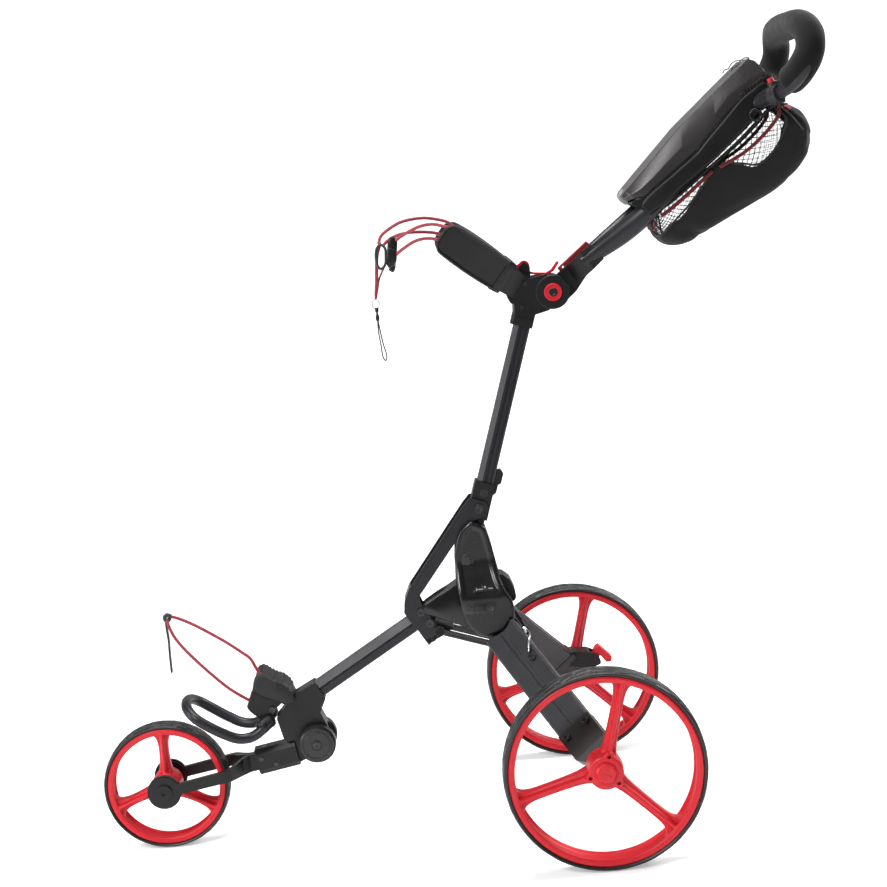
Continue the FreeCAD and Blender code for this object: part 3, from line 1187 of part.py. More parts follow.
def build_rear(parts):
    tyre = make_tyre(REAR_CENTRE, REAR_R, REAR_W, REAR_SEAT_R)
    bearings = make_bearings(REAR_CENTRE, 11.0, 19.0)
    leg, knuckle, block, screws = make_leg_parts()
    left_parts = {
        "rear_rim": moved_y(make_rear_rim(), HALF_TRACK),
        "rear_leg": leg,
        "leg_knuckle": knuckle,
        "axle_block": block,
        "leg_fasteners": group([screws, make_rear_axle()]),
        "push_rod": make_push_rod()}
    for side, suffix in ((1, "_left"), (-1, "_right")):
        parts["rear_tyre" + suffix] = moved_y(tyre, HALF_TRACK * side)
        parts["rear_bearings" + suffix] = moved_y(bearings, HALF_TRACK * side)
        for name, shape in left_parts.items():
            parts[name + suffix] = shape if side == 1 else mirror(shape)
    parts["brake_cable"] = make_brake_cable(leg, screws, knuckle)
    leg_tools = [mirror(block), mirror(leg), mirror(screws)]
    parts["brake_housing"], parts["brake_pedal"] = make_brake(leg_tools)


def build_mast(parts):
    mast = make_mast()
    housing, hinge_screws = make_hinge_housing()
    bracket = make_upper_bracket(housing)
    pads = make_upper_pads(bracket)
    housing = largest(housing)
    parts["upper_bag_strap"], parts["strap_buckle"] = make_upper_strap(pads, bracket)
    bracket = add_latch_mount(bracket, housing)
    # clear the sweep of the latch
    sweep = [(60, 860), (60, 829.2), (-30, 829.2), (-30, 860)]
    housing = largest(housing.cut(prism(sweep, -5.6, 5.6)))
    parts["mast_tube"] = mast
    parts["mast_bracket"] = make_mast_bracket(mast)
    parts["mast_fasteners"] = group(make_mast_pins() + hinge_screws)
    parts["hinge_housing"] = housing
    parts["hinge_knobs"] = make_hinge_knobs()
    parts["upper_bag_bracket"] = bracket
    parts["upper_bag_pads"] = pads.cut(bracket)
    parts["hinge_latch"] = make_hinge_latch(housing, bracket)


def build_handle(parts):
    left_tube = make_handle_tube()
    tubes = (left_tube, mirror(left_tube))
    loop_core = tube(HANDLE_LOOP, HANDLE_LOOP_R)
    shell = make_console_shell(tubes, loop_core)
    body = add_lid_hinge(shell)
    foam = make_grip_foam(loop_core)
    bag = make_net_bag(body, tubes)
    clamp, button = make_loop_clamp(loop_core)
    clamp = largest(clamp.cut(foam).cut(body).cut(bag))
    parts["handle_block"] = make_handle_block(tubes).cut(parts["hinge_latch"])
    parts["handle_tubes"] = group(tubes)
    parts["console_body"] = body
    parts["console_lid"] = make_console_lid(shell)
    parts["handle_loop"] = make_handle_loop()
    parts["loop_clamp"] = clamp
    parts["grip_foam"] = foam
    parts["net_bag"] = bag.cut(clamp)
    parts["release_button"] = button
    parts["hinge_lever"] = make_hinge_lever()


def export(parts):
    os.makedirs("parts", exist_ok=True)
    for name, shape in parts.items():
        piece = shape.copy()
        if piece.ShapeType == "Compound" and len(piece.Solids) == 1:
            piece = piece.Solids[0]
        piece.translate(Vector(EXPORT_SHIFT_X, 0, 0))
        piece.exportStep("parts/" + name + ".step")


all_parts = {}
build_chassis(all_parts)
build_rear(all_parts)
build_mast(all_parts)
build_handle(all_parts)
export(all_parts)
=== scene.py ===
"""A folding three-wheeled bag trolley: wheels, bag supports, handle, console and net bag.

Sizes are design millimetres unless a name or comment says otherwise. x runs forward (the front
wheel is at +x, the handle at -x), y to the trolley's left and z up from the floor. place() turns
them into the metres of the frame. Shader lengths, the studio and the lights are in metres.
"""
import math
from collections import namedtuple

import bmesh
import bpy
import numpy as np
from mathutils import Matrix, Vector, noise


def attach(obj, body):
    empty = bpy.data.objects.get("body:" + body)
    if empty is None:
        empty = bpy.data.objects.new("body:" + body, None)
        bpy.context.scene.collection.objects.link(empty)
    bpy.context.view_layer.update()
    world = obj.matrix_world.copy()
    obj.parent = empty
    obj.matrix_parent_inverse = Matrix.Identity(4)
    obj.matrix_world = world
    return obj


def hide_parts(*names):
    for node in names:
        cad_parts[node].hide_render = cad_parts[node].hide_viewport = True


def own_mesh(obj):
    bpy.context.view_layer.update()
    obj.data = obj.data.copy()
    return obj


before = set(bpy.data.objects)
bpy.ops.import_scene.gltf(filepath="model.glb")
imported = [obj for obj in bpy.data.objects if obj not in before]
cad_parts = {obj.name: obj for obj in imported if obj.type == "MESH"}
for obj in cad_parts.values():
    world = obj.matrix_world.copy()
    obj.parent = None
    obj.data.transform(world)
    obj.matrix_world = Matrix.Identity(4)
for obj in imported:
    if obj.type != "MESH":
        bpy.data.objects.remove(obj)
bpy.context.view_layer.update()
FRAME_X = -176.4    # added to a design x to reach the frame's origin
SIDES = ((1, "left"), (-1, "right"))


def place(x, y, z):
    """Design millimetres to frame metres."""
    return Vector(((x + FRAME_X) / 1000.0, y / 1000.0, z / 1000.0))


# ---------------------------------------------------------------- shader graphs
class Graph:
    """Short calls for building a node tree. Each call returns an output socket."""

    def __init__(self, tree):
        self.tree = tree

    def feed(self, node, inputs):
        """Link or set the inputs given as {socket name or index: socket or value}."""
        for key, value in inputs.items():
            if isinstance(value, bpy.types.NodeSocket):
                self.tree.links.new(value, node.inputs[key])
            else:
                node.inputs[key].default_value = value

    def node(self, kind, inputs=None, output=0, **settings):
        node = self.tree.nodes.new("ShaderNode" + kind)
        for key, value in settings.items():
            setattr(node, key, value)
        self.feed(node, inputs or {})
        return node.outputs[output]

    def coords(self, rotation=(0, 0, 0)):
        return self.node("Mapping", {
            "Vector": self.node("TexCoord", output="Object"),
            "Scale": (1, 1, 1), "Rotation": rotation})

    def ramp(self, factor, low, high):
        """Blend two colours over the middle of a noise's range."""
        colour = self.node("ValToRGB", {0: factor})
        elements = colour.node.color_ramp.elements
        for element, position, stop in zip(elements, (0.3, 0.7), (low, high)):
            element.position = position
            element.color = (*stop, 1)
        return colour

    def remap(self, value, from_min, from_max, to_min, to_max):
        return self.node("MapRange", {0: value, 1: from_min, 2: from_max, 3: to_min, 4: to_max})

    def mix(self, factor, first, second, blend="MIX"):
        inputs = {0: factor}
        for key, colour in ((6, first), (7, second)):
            is_socket = isinstance(colour, bpy.types.NodeSocket)
            inputs[key] = colour if is_socket else (*colour, 1)
        return self.node("Mix", inputs, output=2, data_type="RGBA", blend_type=blend)

    def math(self, operation, *values):
        return self.node("Math", dict(enumerate(values)), operation=operation)

    def bevel_normal(self, radius):
        return self.node("Bevel", {"Radius": radius}, samples=4)

    def bump(self, height, strength, distance, bevel=0.0):
        """Bump the surface, over rounded shading edges where a bevel radius is given."""
        inputs = {"Strength": strength, "Distance": distance, "Height": height}
        if bevel:
            inputs["Normal"] = self.bevel_normal(bevel)
        self.feed(self.surface, {"Normal": self.node("Bump", inputs)})

    def edge_mask(self):
        """1 close to sharp edges, 0 on flats."""
        alignment = self.node("VectorMath", {
            0: self.bevel_normal(0.0012),
            1: self.node("NewGeometry", output="Normal")}, output="Value", operation="DOT_PRODUCT")
        return self.remap(self.math("SUBTRACT", 1.0, alignment), 0.02, 0.25, 0.0, 1.0)


def new_material(name):
    material = bpy.data.materials.new(name)
    material.use_nodes = True
    graph = Graph(material.node_tree)
    nodes = graph.tree.nodes
    nodes.clear()
    graph.output = nodes.new("ShaderNodeOutputMaterial")
    graph.surface = nodes.new("ShaderNodeBsdfPrincipled")
    graph.feed(graph.output, {0: graph.surface.outputs[0]})
    return material, graph


def hard_material(name, colour, roughness, grain, grain_bump, variation, metallic=0.0, wear=0.0,
                  wear_colour=None, specular=0.5, coat=0.0, bevel=0.0006, mottle=14.0):
    """Moulded or metal skin: mottled colour, fine grain and optional wear along the edges."""
    material, g = new_material(name)
    fine = g.node("TexNoise", {
        "Vector": g.coords(), "Scale": grain, "Detail": 3.0, "Roughness": 0.6})
    broad = g.node("TexNoise", {
        "Vector": g.coords(), "Scale": mottle, "Detail": 4.0, "Roughness": 0.65})
    base = g.ramp(broad, tuple(c * (1 - variation) for c in colour),
                  tuple(min(1, c * (1 + variation)) for c in colour))
    speckle = g.remap(fine, 0.35, 0.65, 0.9, 1.1)
    speckle = g.node("CombineColor", {0: speckle, 1: speckle, 2: speckle})
    base = g.mix(1.0, base, speckle, "MULTIPLY")
    if wear:
        edges = g.edge_mask()
        patches = g.node("TexNoise", {"Vector": g.coords(), "Scale": 120.0, "Detail": 2.0})
        worn = g.math("MULTIPLY", edges, g.remap(patches, 0.3, 0.7, 0.15, 1.0))
        base = g.mix(g.math("MULTIPLY", worn, wear), base, wear_colour)
    g.feed(g.surface, {
        "Base Color": base, "Metallic": metallic, "Specular IOR Level": specular,
        "Roughness": g.remap(broad, 0.25, 0.75, max(0.05, roughness - 0.07),
                             min(1, roughness + 0.09)),
        "Coat Weight": coat, "Coat Roughness": 0.25})
    g.bump(fine, grain_bump, 0.0003, bevel)
    return material


def cord_material(name, light, dark, strand_pitch):
    """Braided cord: two crossing sets of strands from the sweep's own length and angle."""
    material, g = new_material(name)
    split = g.node("SeparateXYZ", {0: g.node("UVMap", uv_map="uv")}).node
    along = g.math("DIVIDE", split.outputs[0], strand_pitch)
    around = g.math("MULTIPLY", split.outputs[1], 8.0)
    strands = [g.math("SINE", g.math("MULTIPLY", g.math(crossing, along, around), 6.2832))
               for crossing in ("ADD", "SUBTRACT")]
    height = g.math("MAXIMUM", *strands)
    stains = g.node("TexNoise", {"Vector": g.coords(), "Scale": 260.0, "Detail": 3.0})
    base = g.mix(g.remap(height, -0.2, 1.0, 0.0, 1.0), dark, light)
    base = g.mix(g.remap(stains, 0.3, 0.7, 0.0, 0.35), base, tuple(c * 0.6 for c in light))
    g.feed(g.surface, {"Base Color": base, "Roughness": 0.72, "Sheen Weight": 0.35})
    g.bump(height, 0.6, 0.0005)
    return material


def weave_material(name, dark, light, scale, roughness, sheen, relief=0.5):
    """Cloth: two crossing wave bands, darkened in patches."""
    material, g = new_material(name)
    vector = g.coords(rotation=(0.6, 0.3, 0.55))
    threads = [
        g.node("TexWave", {"Vector": vector, "Scale": scale, "Distortion": 1.2, "Detail": 2.0},
               output="Fac", wave_type="BANDS", bands_direction=direction)
        for direction in "XZ"]
    height = g.math("MULTIPLY", *threads)
    patches = g.node("TexNoise", {"Vector": g.coords(), "Scale": 24.0, "Detail": 5.0})
    base = g.mix(height, dark, light)
    base = g.mix(g.remap(patches, 0.35, 0.7, 0.0, 0.6), base, dark)
    g.feed(g.surface, {"Base Color": base, "Roughness": roughness,
                       "Sheen Weight": sheen, "Sheen Roughness": 0.4})
    g.bump(height, relief, 0.0004)
    return material


def foam_material():
    material, g = new_material("foam_grip")
    vector = g.coords()
    cells = g.node("TexVoronoi", {"Vector": vector, "Scale": 700.0})
    fine = g.node("TexNoise", {"Vector": vector, "Scale": 1500.0, "Detail": 4.0})
    broad = g.node("TexNoise", {"Vector": vector, "Scale": 18.0, "Detail": 4.0})
    g.feed(g.surface, {
        "Base Color": g.ramp(broad, (0.0035, 0.0035, 0.004), (0.006, 0.006, 0.0065)),
        "Roughness": 0.93, "Specular IOR Level": 0.25, "Sheen Weight": 0.12})
    g.bump(g.math("ADD", g.math("MULTIPLY", cells, 0.6), fine), 0.5, 0.0006)
    return material


def clear_material():
    material, g = new_material("smoke_clear_plastic")
    clouds = g.node("TexNoise", {"Scale": 90.0, "Detail": 3.0})
    g.feed(g.surface, {
        "Base Color": g.ramp(clouds, (0.42, 0.43, 0.45), (0.60, 0.61, 0.63)),
        "Transmission Weight": 0.55, "Roughness": 0.22})
    return material


LOOKS = {
    "alu": hard_material(
        "black_aluminium", (0.019, 0.019, 0.023), roughness=0.36, metallic=0.35, grain=1500,
        grain_bump=0.10, variation=0.12, wear=0.35, wear_colour=(0.11, 0.11, 0.125), mottle=9),
    "plastic": hard_material(
        "black_plastic", (0.0042, 0.0042, 0.0047), roughness=0.40, grain=2600, grain_bump=0.30,
        variation=0.22, wear=0.30, wear_colour=(0.05, 0.05, 0.055), specular=0.40),
    "gloss": hard_material(
        "black_plastic_satin", (0.0040, 0.0040, 0.0045), roughness=0.26, grain=2200,
        grain_bump=0.12, variation=0.2, wear=0.3, wear_colour=(0.09, 0.09, 0.10), coat=0.15),
    "lid": hard_material(
        "grey_plastic", (0.050, 0.046, 0.048), roughness=0.30, metallic=0.40, grain=3000,
        grain_bump=0.14, variation=0.10, wear=0.25, wear_colour=(0.16, 0.155, 0.155), mottle=6),
    "red": hard_material(
        "red_plastic", (0.66, 0.010, 0.022), roughness=0.40, grain=2400, grain_bump=0.16,
        variation=0.05, wear=0.20, wear_colour=(0.9, 0.12, 0.12), specular=0.45, mottle=8),
    "dark_red": hard_material(
        "dark_red", (0.26, 0.010, 0.014), roughness=0.42, metallic=0.2, grain=1800,
        grain_bump=0.15, variation=0.15, wear=0.4, wear_colour=(0.6, 0.1, 0.1)),
    "steel": hard_material(
        "steel", (0.55, 0.55, 0.56), roughness=0.28, metallic=1.0, grain=1500,
        grain_bump=0.08, variation=0.1),
    "black_steel": hard_material(
        "black_steel", (0.05, 0.05, 0.053), roughness=0.27, metallic=0.85, grain=1700,
        grain_bump=0.08, variation=0.15, wear=0.5, wear_colour=(0.35, 0.35, 0.36)),
    "badge": hard_material(
        "grey_badge", (0.05, 0.05, 0.055), roughness=0.34, metallic=0.6, grain=2600,
        grain_bump=0.10, variation=0.10, wear=0.3, wear_colour=(0.3, 0.3, 0.31)),
    "tyre": hard_material(
        "tyre_rubber", (0.010, 0.010, 0.0105), roughness=0.40, grain=2200, grain_bump=0.25,
        variation=0.25, specular=0.55, bevel=0.0),
    "cord": cord_material(
        "red_cord", light=(0.50, 0.018, 0.045), dark=(0.20, 0.005, 0.014), strand_pitch=0.0042),
    "black_cord": cord_material(
        "black_cord", light=(0.030, 0.030, 0.032), dark=(0.008, 0.008, 0.009),
        strand_pitch=0.003),
    "fabric": weave_material(
        "bag_fabric", dark=(0.003, 0.003, 0.0035), light=(0.009, 0.009, 0.010),
        scale=700.0, roughness=0.88, sheen=0.10),
    "web": weave_material(
        "black_webbing", dark=(0.010, 0.010, 0.011), light=(0.035, 0.035, 0.037),
        scale=1200.0, roughness=0.8, sheen=0.3, relief=0.8),
    "piping": weave_material(
        "dark_red_piping", dark=(0.14, 0.004, 0.009), light=(0.34, 0.010, 0.020),
        scale=1400.0, roughness=0.75, sheen=0.3, relief=0.6),
    "patch": weave_material(
        "red_fabric", dark=(0.35, 0.010, 0.018), light=(0.60, 0.03, 0.04),
        scale=1200.0, roughness=0.8, sheen=0.3, relief=0.6),
    "net": weave_material(
        "black_net", dark=(0.010, 0.010, 0.010), light=(0.022, 0.022, 0.022),
        scale=2000.0, roughness=0.8, sheen=0.1, relief=0.2),
    "foam": foam_material(),
    "rubber": hard_material(
        "black_rubber", (0.006, 0.006, 0.0065), roughness=0.55, grain=2600, grain_bump=0.4,
        variation=0.2, wear=0.25, wear_colour=(0.07, 0.07, 0.075), bevel=0.0),
    "clear": clear_material(),
}

# the CAD material slot each look belongs to
# the look given to CAD pieces by slot, and by name where the slot is not enough
SLOT_LOOK = {
    "black_aluminium": "alu", "black_plastic": "plastic", "grey_plastic": "lid",
    "red_plastic": "red", "dark_red": "dark_red", "tyre": "tyre", "steel": "steel",
    "black_steel": "black_steel", "foam": "plastic", "mesh_fabric": "plastic", "red_cord": "red",
}
NODE_LOOK = {"hub_pivot_pins": "black_steel", "front_axle": "plastic", "brake_cable": "steel",
             "handle_block": "plastic"}


def dress_cad_pieces():
    for name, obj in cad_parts.items():
        look = "plastic"
        for slot in obj.material_slots:
            slot_name = slot.material.name.split(".")[0] if slot.material else ""
            look = SLOT_LOOK.get(slot_name, look)
        material = LOOKS[NODE_LOOK.get(name, look)]
        if not obj.material_slots:
            obj.data.materials.append(material)
        for slot in obj.material_slots:
            slot.material = material


# ---------------------------------------------------------------- objects
def link_mesh(name, points, faces):
    """A new object in the scene from points in metres."""
    mesh = bpy.data.meshes.new(name)
    mesh.from_pydata([tuple(p) for p in points], [], faces)
    obj = bpy.data.objects.new(name, mesh)
    bpy.context.scene.collection.objects.link(obj)
    return obj


def shade_smooth(mesh):
    mesh.polygons.foreach_set("use_smooth", np.full(len(mesh.polygons), True))


def smooth_below(obj, angle):
    """Shade smooth, with edges sharper than the angle in degrees kept crisp."""
    shade_smooth(obj.data)
    obj.data.set_sharp_from_angle(angle=math.radians(angle))


def fix_normals(mesh):
    bm = bmesh.new()
    bm.from_mesh(mesh)
    bmesh.ops.recalc_face_normals(bm, faces=bm.faces)
    bm.to_mesh(mesh)
    bm.free()


def register(obj, body, replaces):
    """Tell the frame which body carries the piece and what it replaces."""
    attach(obj, body)
    if replaces:
        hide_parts(replaces)


def add_piece(name, points, faces, look, body, replaces=None, smooth_angle=None, uvs=None):
    """A piece from design points. Without a smooth angle it is smooth all over."""
    obj = link_mesh(name, [place(*p) for p in points], faces)
    mesh = obj.data
    mesh.validate()
    mesh.materials.append(LOOKS[look])
    if uvs is not None:
        layer = mesh.uv_layers.new(name="uv")
        corners = np.zeros(len(mesh.loops), np.int32)
        mesh.loops.foreach_get("vertex_index", corners)
        layer.data.foreach_set("uv", np.asarray(uvs, np.float32)[corners].ravel())
    shade_smooth(mesh)
    fix_normals(mesh)
    register(obj, body, replaces)
    if smooth_angle:
        smooth_below(obj, smooth_angle)
    return obj


def apply_modifiers(obj):
    depsgraph = bpy.context.evaluated_depsgraph_get()
    mesh = bpy.data.meshes.new_from_object(obj.evaluated_get(depsgraph))
    old = obj.data
    obj.modifiers.clear()
    obj.data = mesh
    bpy.data.meshes.remove(old)


def bevel(obj, width, segments, angle):
    modifier = obj.modifiers.new("bevel", "BEVEL")
    modifier.width = width / 1000.0
    modifier.segments = segments
    modifier.limit_method = "ANGLE"
    modifier.angle_limit = math.radians(angle)
    modifier.use_clamp_overlap = True
    apply_modifiers(obj)
    smooth_below(obj, 40)


def solidify(obj, thickness, offset=0, even=False):
    modifier = obj.modifiers.new("solid", "SOLIDIFY")
    modifier.thickness = thickness / 1000.0
    modifier.offset = offset
    modifier.use_even_offset = even
    apply_modifiers(obj)


def add_remeshed(name, points, faces, voxel, passes, look, body, replaces):
    """Overlapping closed parts fused into one softened skin."""
    obj = link_mesh(name, [place(*p) for p in points], faces)
    fix_normals(obj.data)
    remesh = obj.modifiers.new("remesh", "REMESH")
    remesh.mode = "VOXEL"
    remesh.voxel_size = voxel / 1000.0
    remesh.adaptivity = 0.0
    smooth = obj.modifiers.new("smooth", "SMOOTH")
    smooth.iterations = passes
    smooth.factor = 0.5
    apply_modifiers(obj)
    obj.data.materials.clear()
    obj.data.materials.append(LOOKS[look])
    shade_smooth(obj.data)
    register(obj, body, replaces)
    return obj


# ---------------------------------------------------------------- shapes
def smoothstep(start, end, x):
    t = np.clip((x - start) / (end - start), 0, 1)
    return t * t * (3 - 2 * t)


def lerp(first, second, share):
    return first * (1 - share) + second * share


def mirrored(points):
    """Points followed by their mirror images across y = 0, in reverse order."""
    return points + [(x, -y, z) for x, y, z in reversed(points) if y]


def mirrored_profile(half):
    """The same for a profile of (radius, y)."""
    return half + [(r, -y) for r, y in reversed(half) if y]


def on_side(points, side):
    return [(x, side * y, z) for x, y, z in points]


def unit(vector):
    return vector / max(1e-9, np.linalg.norm(vector))


def catmull(points, steps, closed=False):
    """Centripetal Catmull-Rom curve, which keeps tight bends free of loops."""
    pts = [np.array(p, float) for p in points]
    count = len(pts)
    curve = []
    for i in range(count if closed else count - 1):
        p1, p2 = pts[i], pts[(i + 1) % count]
        p0 = pts[i - 1] if closed or i > 0 else p1 * 2 - p2
        p3 = pts[(i + 2) % count] if closed or i + 2 < count else p2 * 2 - p1
        t0 = 0.0
        t1 = t0 + max(1e-6, np.linalg.norm(p1 - p0)) ** 0.5
        t2 = t1 + max(1e-6, np.linalg.norm(p2 - p1)) ** 0.5
        t3 = t2 + max(1e-6, np.linalg.norm(p3 - p2)) ** 0.5
        for k in range(steps):
            t = t1 + (t2 - t1) * k / steps
            a1 = (t1 - t) / (t1 - t0) * p0 + (t - t0) / (t1 - t0) * p1
            a2 = (t2 - t) / (t2 - t1) * p1 + (t - t1) / (t2 - t1) * p2
            a3 = (t3 - t) / (t3 - t2) * p2 + (t - t2) / (t3 - t2) * p3
            b1 = (t2 - t) / (t2 - t0) * a1 + (t - t0) / (t2 - t0) * a2
            b2 = (t3 - t) / (t3 - t1) * a2 + (t - t1) / (t3 - t1) * a3
            curve.append((t2 - t) / (t2 - t1) * b1 + (t - t1) / (t2 - t1) * b2)
    if not closed:
        curve.append(pts[-1])
    return np.array(curve)


def smooth_outline(points, steps):
    """Closed curve through (x, z) points."""
    return catmull([(x, 0, z) for x, z in points], steps, closed=True)[:, [0, 2]]


def arc_lengths(path):
    return np.concatenate([[0], np.cumsum(np.linalg.norm(np.diff(path, axis=0), axis=1))])


def circle(radius, sides, flatness=1.0):
    angles = [2 * math.pi * k / sides for k in range(sides)]
    return [(radius * math.cos(a), radius * flatness * math.sin(a)) for a in angles]


def skin_faces(rings, size, closed=False):
    """Quads between successive rings, capped unless the rings close on themselves."""
    faces = []
    for i in range(rings if closed else rings - 1):
        j = (i + 1) % rings
        for k in range(size):
            n = (k + 1) % size
            faces.append((i * size + k, i * size + n, j * size + n, j * size + k))
    if not closed:
        faces.append(tuple(range(size - 1, -1, -1)))
        faces.append(tuple((rings - 1) * size + k for k in range(size)))
    return faces


def revolved_faces(steps, size):
    """Quads of a closed profile carried all the way round."""
    faces = []
    for i in range(steps):
        j = (i + 1) % steps
        for k in range(size):
            n = (k + 1) % size
            faces.append((i * size + k, j * size + k, j * size + n, i * size + n))
    return faces


def grid_faces(rows, columns):
    """Quads of an open grid of rows x columns points."""
    return [(a, a + 1, a + columns + 1, a + columns)
            for i in range(rows - 1) for a in range(i * columns, (i + 1) * columns - 1)]


def slab_faces(rows, columns):
    """Faces of an outer point grid, an inner one listed after it and the walls between."""
    inner = rows * columns
    faces = []
    for a, b, c, d in grid_faces(rows, columns):
        faces += [(a, b, c, d), (inner + a, inner + d, inner + c, inner + b)]
    for i in range(rows - 1):
        for j in (0, columns - 1):
            a = i * columns + j
            faces.append((a, a + columns, inner + a + columns, inner + a))
    for i in (0, rows - 1):
        for j in range(columns - 1):
            a = i * columns + j
            faces.append((a, a + 1, inner + a + 1, inner + a))
    return faces


def sweep(path, section, closed=False):
    """Carry section(i, share of length) along a path. Returns points, faces and UVs.

    A section is a list of offsets: the first starts near +y, the second is square to it.
    """
    count = len(path)
    ahead, behind = np.roll(path, -1, 0), np.roll(path, 1, 0)
    if not closed:
        ahead[-1], behind[0] = path[-1], path[0]
    tangents = [unit(a - b) for a, b in zip(ahead, behind)]
    normal = np.array((0.0, 1.0, 0.0))
    lengths = arc_lengths(path)
    points, uvs = [], []
    for i, tangent in enumerate(tangents):
        normal = normal - tangent * (normal @ tangent)
        normal = normal / np.linalg.norm(normal)
        binormal = np.cross(tangent, normal)
        offsets = section(i, lengths[i] / max(1e-9, lengths[-1]))
        for k, (a, b) in enumerate(offsets):
            points.append(path[i] + normal * a + binormal * b)
            uvs.append((lengths[i] / 1000.0, k / len(offsets)))
    return points, skin_faces(count, len(offsets), closed), uvs


# rounded tube ends: distance beyond the end in half radii, and the ring's scale
END_REACH = (1.0, 0.86, 0.5)
END_SCALE = (0.25, 0.62, 0.9)


def tube(name, points, radius, look, body, replaces=None, steps=8, sides=12, closed=False,
         taper=None, flatness=1.0):
    path = catmull(points, steps, closed)
    if not closed:
        first = unit(path[0] - path[1])
        last = unit(path[-1] - path[-2])
        before = [path[0] + first * radius * 0.5 * reach for reach in END_REACH]
        after = [path[-1] + last * radius * 0.5 * reach for reach in reversed(END_REACH)]
        path = np.array(before + list(path) + after)

    def section(i, share):
        from_end = min(i, len(path) - 1 - i)
        scale = END_SCALE[from_end] if not closed and from_end < len(END_SCALE) else 1.0
        if taper:
            scale *= taper(share)
        return circle(radius * scale, sides, flatness)

    points, faces, uvs = sweep(path, section, closed)
    return add_piece(name, points, faces, look, body, replaces, uvs=uvs)


def lathe(profile, centre_x, centre_z, steps):
    """Closed profile of (radius, y) revolved about a line along y."""
    points = []
    for i in range(steps):
        c, s = math.cos(2 * math.pi * i / steps), math.sin(2 * math.pi * i / steps)
        points += [(centre_x + r * c, y, centre_z + r * s) for r, y in profile]
    return points, revolved_faces(steps, len(profile))


def hex_head(profile, centre_x, centre_z, turn):
    """Open profile of (corner radius, y) at six corners, closed by a cap at each end."""
    size = len(profile)
    points, faces = [], []
    for k in range(6):
        angle = math.radians(60 * k + turn)
        c, s = math.cos(angle), math.sin(angle)
        points += [(centre_x + r * c, y, centre_z + r * s) for r, y in profile]
        n = (k + 1) % 6
        faces += [(k * size + q, n * size + q, n * size + q + 1, k * size + q + 1)
                  for q in range(size - 1)]
    faces.append(tuple(k * size + size - 1 for k in range(6)))
    faces.append(tuple(k * size for k in range(5, -1, -1)))
    return points, faces


def prism(outline, y0, y1):
    """Closed prism along y from an (x, z) outline."""
    m = len(outline)
    points = [(x, y, z) for y in (y0, y1) for x, z in outline]
    faces = [tuple(range(m)), tuple(range(2 * m - 1, m - 1, -1))]
    for k in range(m):
        n = (k + 1) % m
        faces.append((k, m + k, m + n, n))
    return points, faces


def join(parts):
    points, faces = [], []
    for part_points, part_faces in parts:
        start = len(points)
        points += list(part_points)
        faces += [tuple(i + start for i in face) for face in part_faces]
    return points, faces


def add_prism(name, outline, y0, y1, look, body, edge):
    obj = add_piece(name, *prism(outline, y0, y1), look, body)
    bevel(obj, edge, 2, 30)


def add_lathe(name, profile, centre_x, centre_z, steps, side, look, body, smooth_angle=None):
    points, faces = lathe(profile, centre_x, centre_z, steps)
    add_piece(name, on_side(points, side), faces, look, body, smooth_angle=smooth_angle)


def add_loft(name, sections, look, body, smooth_angle, replaces=None):
    """Closed loft through sections with equal numbers of points."""
    points = [p for section in sections for p in section]
    faces = skin_faces(len(sections), len(sections[0]))
    return add_piece(name, points, faces, look, body, replaces, smooth_angle)


def scaled_sections(outline, stations, side=1):
    """The (x, z) outline scaled about its mean point at each (y, scale) station."""
    mid_x, mid_z = outline.mean(0)
    return [[(mid_x + (x - mid_x) * scale, side * y, mid_z + (z - mid_z) * scale)
             for x, z in outline] for y, scale in stations]


# ---------------------------------------------------------------- wheels
# Each wheel stands on the floor, so its axle height is its radius. The seat is where tyre meets
# rim. Spoke angles are in degrees, from +x towards +z.
Wheel = namedtuple("Wheel", "position body x y radius seat tyre_width tread_pitch tyre_steps "
                            "rim_width hub_radius hub_width spoke_angles spoke_width bore")
REAR_SPOKES = (105, -15, -135)


def rear_wheel(side, tag):
    """A rear wheel has no bore, but a screw pocket at each spoke's root."""
    return Wheel(position=("rear", tag), body="wheel_" + tag, x=0, y=side * 280, radius=145,
                 seat=138, tyre_width=44, tread_pitch=43.0, tyre_steps=900, rim_width=42,
                 hub_radius=25, hub_width=46, spoke_angles=REAR_SPOKES, spoke_width=15.5, bore=0)


WHEELS = [rear_wheel(*side) for side in SIDES] + [
    Wheel(position=("front",), body="front_wheel", x=658, y=0, radius=97.8, seat=91.5,
          tyre_width=38, tread_pitch=36.0, tyre_steps=700, rim_width=36, hub_radius=22,
          hub_width=42, spoke_angles=(90, -20, -150), spoke_width=13.5, bore=11.0)]
TYRE_DETAIL = 1.0
RIM_VOXEL = 1.25


def wheel_names(kind, position):
    """The piece's own name and the CAD piece it replaces."""
    return "_".join((kind, *position)), "_".join((position[0], kind, *position[1:]))


